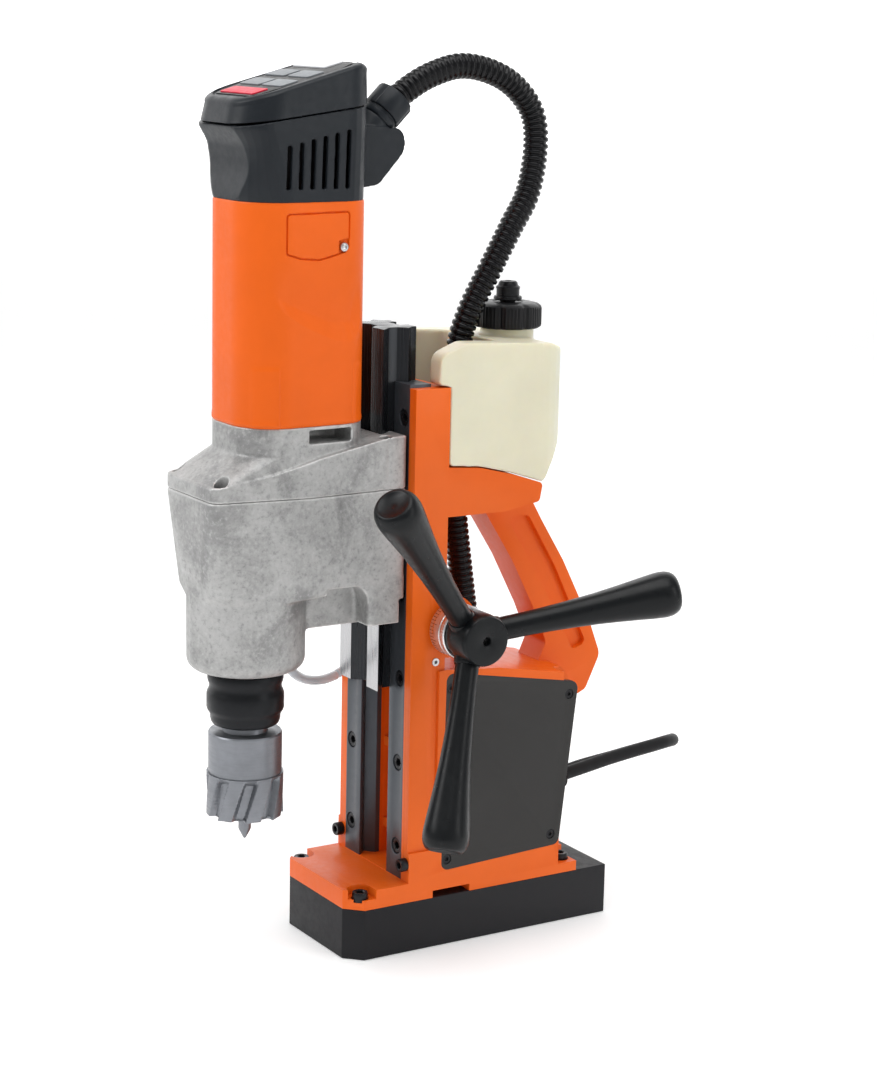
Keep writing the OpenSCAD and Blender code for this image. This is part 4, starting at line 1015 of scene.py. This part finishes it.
def motor_relief(x, y, z, door_line):
    """How far the surface lies inside the plain housing, in millimetres; negative stands proud."""
    depth = 0.0
    if abs(x) > 20 and -153 < y < -88:
        top = float(np.interp(y, RIBBON_Y, RIBBON_TOP))
        low = float(np.interp(y, RIBBON_Y, RIBBON_LOW))
        fade = soft(y, -152, -136) * (1 - soft(y, -94, -88))
        if low < z <= top:
            depth += RIBBON_DEPTH * fade * (z - low) / (top - low)
        elif z > top:
            depth += RIBBON_DEPTH * fade * (1 - soft(z, top, top + 26))
    for y0, y1 in ((-159, -145), (-94, -86)):
        if abs(x) > 15:
            pad = soft(y, y0 - 0.5,
                    y0 + 0.5) * (1 - soft(y, y1 - 0.5, y1 + 0.5)) * (1 - soft(z, 376, 377.4))
            depth -= 0.6 * pad
    if x > 20 and 436 < z < 471 and -145 < y < -95:
        if inside((y, z), SCREW_POCKET):
            depth += 1.7
        depth += 1.4 * (1 - soft(distance_to((y, z), door_line), 0.28, 0.6))
    return depth - 0.35 * (1 - soft(z, 343, 346))


def spaced(*stretches):
    """Numbers over several stretches (from, to, step)."""
    values = []
    for low, high, step in stretches:
        count = max(1, round((high - low) / step))
        values += [low + (high - low) * i / count for i in range(count)]
    return values + [stretches[-1][1]]


def make_motor():
    plan = evenly(rounded(MOTOR_PLAN, 24), 1400)
    near = [i for i, p in enumerate(plan) if p[0] > 30 and -146 < p[1] < -94]
    keep = [i for i in range(len(plan)) if i in set(near) or i % 7 == 0]
    plan = plan[keep]
    door_line = [tuple(p) for p in rounded(DOOR, 4)]
    count = len(plan)
    normals = [Vector((plan[(i + 1) % count][1] - plan[i - 1][1],
            plan[i - 1][0] - plan[(i + 1) % count][0])).normalized()
               for i in range(count)]
    if normals[0].dot(Vector(plan[0]) - Vector((0, -120))) < 0:
        normals = [-n for n in normals]
    levels = spaced((341.0, 341.8, 0.27), (341.8, 390, 1.2), (390, 424, 0.7), (424, 438, 1.5),
            (438, 470, 0.36), (470, 474, 0.8))
    rings = []
    for z in levels:
        edge = 0.8 * (1 - soft(z, 341, 342)) + 0.5 * soft(z, 473.2, 474)
        ring = []
        for p, n in zip(plan, normals):
            d = motor_relief(p[0], p[1], z, door_line) + edge
            ring.append((p[0] - n.x * d, p[1] - n.y * d, z))
        rings.append(ring)
    housing = loft("motor_housing_moulded", rings, smooth=50)
    split_door(housing, door_line)
    put(housing, "motor_housing")
    x_here = 35.4
    screw = lathe("brush_screw",
            [(0, -5), (1.6, -5), (1.6, 0), (2.7, 0), (2.8, 0.4), (2.5, 1.2), (1.7, 1.7), (1.3, 1.75),
            (1.2, 0.9), (0, 0.8)],
                  (x_here - 1.5, -102.6, 447.2), (1, 0, 0), 48)
    put(screw, "brush_cover_screw")


def split_door(housing, door_line):
    """The door is the patch of the housing inside its outline, as a part of its own."""
    bm = bmesh.new()
    bm.from_mesh(housing.data)
    patch = []
    for face in bm.faces:
        c = face.calc_center_median() / MM
        if c.x > 25 and -142 < c.y < -98 and 439 < c.z < 469 and inside((c.y, c.z), door_line):
            patch.append(face)
    door = bm.copy()
    chosen = {f.index for f in patch}
    bmesh.ops.delete(bm, geom=patch, context="FACES")
    bm.to_mesh(housing.data)
    bm.free()
    door.faces.ensure_lookup_table()
    bmesh.ops.delete(door, geom=[f for f in door.faces if f.index not in chosen], context="FACES")
    mesh = bpy.data.meshes.new("brush_door")
    door.to_mesh(mesh)
    door.free()
    piece = bpy.data.objects.new("brush_door", mesh)
    bpy.context.scene.collection.objects.link(piece)
    modify(piece, "SOLIDIFY", thickness=1.2 * MM, offset=-1.0)
    put(shade(piece, 50), "brush_cover")


# ---------------------------------------------------------------- head

PANEL_SLOPE = math.radians(15.6)
PANEL_AT = (0, -166, 532)


def seam(y):
    """Height of the joint between the head's shell and its cap."""
    return 517.6 + (y + 175) * 0.137


def head_section(front, half, rear, rear_half, front_r=22, rear_r=20, count=240):
    plan = [(-half, front, front_r), (half, front, front_r), (rear_half, rear, rear_r),
            (-rear_half, rear, rear_r)]
    return evenly(rounded(plan, 14), count)


def tuck_front(shell):
    """The shell's front falls in sharply just below the seam, then runs down straight."""
    for vertex in shell.data.vertices:
        y, z = vertex.co.y / MM, vertex.co.z / MM
        back = 8.0 * soft(z, 472, 500) - 3.5 * soft(z, 505, 518)
        vertex.co.y += back * soft(-y, 150, 176) * MM


def make_head():
    shell = cast("head_shell_moulded", [cad_object("head_shell")], 0.6, 3)
    tuck_front(shell)
    put(shell, "head_shell")
    # Black sheet inside the shell behind the vents: painted shade, so the vents look dark.
    vent_shade_sheet = slab("vent_painted_shade_sheet", [(-160, 480), (-86, 480), (-86, 512), (-160, 512)], "x", -1.5, 1.5, 0.3)
    add(vent_shade_sheet, "head_shell", "black_rubber")
    make_cap()
    make_keys()
    make_collar()


def panel_height(y, lift=0.0):
    return PANEL_AT[2] + (y - PANEL_AT[1]) * math.tan(PANEL_SLOPE) + lift


def make_cap():
    """Cap whose wall rises from the seam to a rounded rim round the sunk key panel."""
    rings = []

    def ring(front, half, rear, rear_half, height, front_r=25, rear_r=20):
        plan = head_section(front, half, rear, rear_half, front_r, rear_r)
        rings.append([(x, y, height(y)) for x, y in plan])

    def top(y):
        """Rim line: it follows the panel and rounds over at the back."""
        return min(panel_height(y, 1.4), 554.6 - 0.020 * max(0.0, y + 92) ** 2)

    ring(-169.9, 37.2, -82.2, 34.6, lambda y: seam(y) + 0.25)
    ring(-171.0, 38.4, -81.0, 35.8, lambda y: seam(y) + 0.9)
    for i in range(1, 13):
        t = i / 13
        ring(-171.0 + 2.4 * t, 38.4 - 0.8 * t, -81.0, 35.8 - 0.9 * t, lambda y,
             t=t: seam(y) + 0.9 + t * (top(y) - 3.2 - seam(y) - 0.9))
    for i in range(1, 9):
        a = math.pi / 2 * i / 8
        dy = 3.4 * (1 - math.cos(a))
        ring(-168.6 + dy, 37.6 - dy, -81.0 - dy, 34.9 - dy, lambda y,
             a=a: top(y) - 3.2 * (1 - math.sin(a)), 24, 19)
    ring(-163.6, 32.6, -86.0, 29.6, lambda y: top(y) + 0.1, 17, 16)
    ring(-162.8, 31.8, -86.8, 28.8, lambda y: panel_height(min(y, -92), 0.5), 16, 15)
    cap = loft("head_cap_moulded", rings, smooth=40)
    put(cap, "head_cap")


KEYS = {"stop_key": (1, 14.5, 42, 11), "speed_down_key": (-14, 32, 25, 12),
        "speed_up_key": (14, 32, 25, 12),
        "direction_key": (-17, 51, 25, 12), "magnet_key": (12, 51, 25, 12), "start_key": (-9, 71, 40, 13)}


def on_panel(piece):
    turn = Matrix.Rotation(PANEL_SLOPE, 4, "X")
    piece.data.transform(Matrix.Translation(Vector(PANEL_AT) * MM) @ turn)
    return piece


def make_keys():
    frame_outline = [(-23, 7.0, 4), (26, 7.0, 4), (31, 44, 8), (28, 66, 8), (20, 80, 6), (-31, 80, 6),
            (-33, 46, 8)]
    plate = on_panel(slab("keypad_plate", [tuple(p) for p in rounded(frame_outline)], "z", -2.0, 1.1, 0.35))
    add(plate, "head_cap", "cap_plastic")
    for node, (x, up, w, l) in KEYS.items():
        outline = rounded([(x - w / 2, up - l / 2, 1.6), (x + w / 2, up - l / 2, 1.6),
                (x + w / 2, up + l / 2, 1.6), (x - w / 2, up + l / 2, 1.6)])
        key = slab(node + "_cap", [tuple(p) for p in outline], "z", -1.6, 1.9, 0.5, 3)
        put(on_panel(key), node)


def make_collar():
    """Bayonet collar that grips the conduit, on the gusset's slope."""
    place = (0, -66, 515.8)
    axis = (0, 1, 1)
    profile = [(0, -6), (9.4, -6), (9.6, 2), (9.8, 4.5), (11.0, 5.2), (11.4, 6.0), (11.4, 8.8),
            (10.9, 9.4), (10.9, 10.4), (12.3, 10.8),
               (12.5, 11.4), (12.5, 23.4), (12.1, 24.6), (11.2, 25), (8.3, 25), (8.3, 14), (0, 14)]
    collar = lathe("conduit_collar_moulded", profile, place, axis, 96,
                   wave=lambda a, r, h: r * (1 - (0.045 if 12.0 < r and math.cos(3 * a + 0.6) > 0.86 else 0)))
    put(collar, "conduit_collar")


# ---------------------------------------------------------------- tank

def make_tank():
    tank = cast("coolant_tank_blown", [cad_object("coolant_tank")], 1.0, 6)
    put(tank, "coolant_tank")
    cap = [(17.3, 389.6), (20.6, 389.6), (21.4, 390.2), (21.6, 391.5), (21.6, 401.6), (21.2, 403.4),
           (19.6, 404.6), (16, 405.4), (12, 405.9),
           (10, 405.7), (9.6, 405.2), (5.0, 405.2), (5.0, 401.4), (17.3, 401.4)]

    def lobes(angle, radius, height):
        if radius < 19:
            return radius
        fine = 0.012 * math.cos(60 * angle) * (1 if 391 < height < 402 else 0)
        return radius * (1 - 0.055 * max(0.0, math.cos(8 * angle)) ** 3 + fine)

    rings_cap = lathe("tank_cap_moulded", cap + [cap[0]], (0, 37.2, 0), around=240, wave=lobes, smooth=30)
    put(rings_cap, "tank_cap")
    spout = [(0, 394), (4.6, 394), (4.9, 394.6), (4.9, 406.6), (8.4, 406.6), (9, 407.2), (9, 408.2),
            (8.6, 409), (7.3, 409.2), (7.3, 413.2), (7.7, 414),
             (7.6, 415), (6.4, 415.8), (5.9, 417.6), (5.0, 418.5), (2.2, 418.6), (2.0, 417), (0, 417)]
    put(lathe("cap_spout_moulded", spout, (0, 37.2, 0), around=64), "cap_spout")


# ---------------------------------------------------------------- the rest

def dress_nodes():
    """The CAD nodes that show as they are, or lie inside, take their own finish."""
    for node, thing in NODES.items():
        thing.data.materials.clear()
        thing.data.materials.append(LOOKS[SLOT_OF[node]])
        if not thing.hide_render:
            shade(thing, 30)


make_camera()
LOOKS = make_looks()
make_cords()
make_stage()
make_screws()
make_foot()
make_stand()
make_wheel()
make_sleeve()
make_cutter()
make_case()
make_motor()
make_head()
make_tank()
dress_nodes()

bpy.context.view_layer.update()
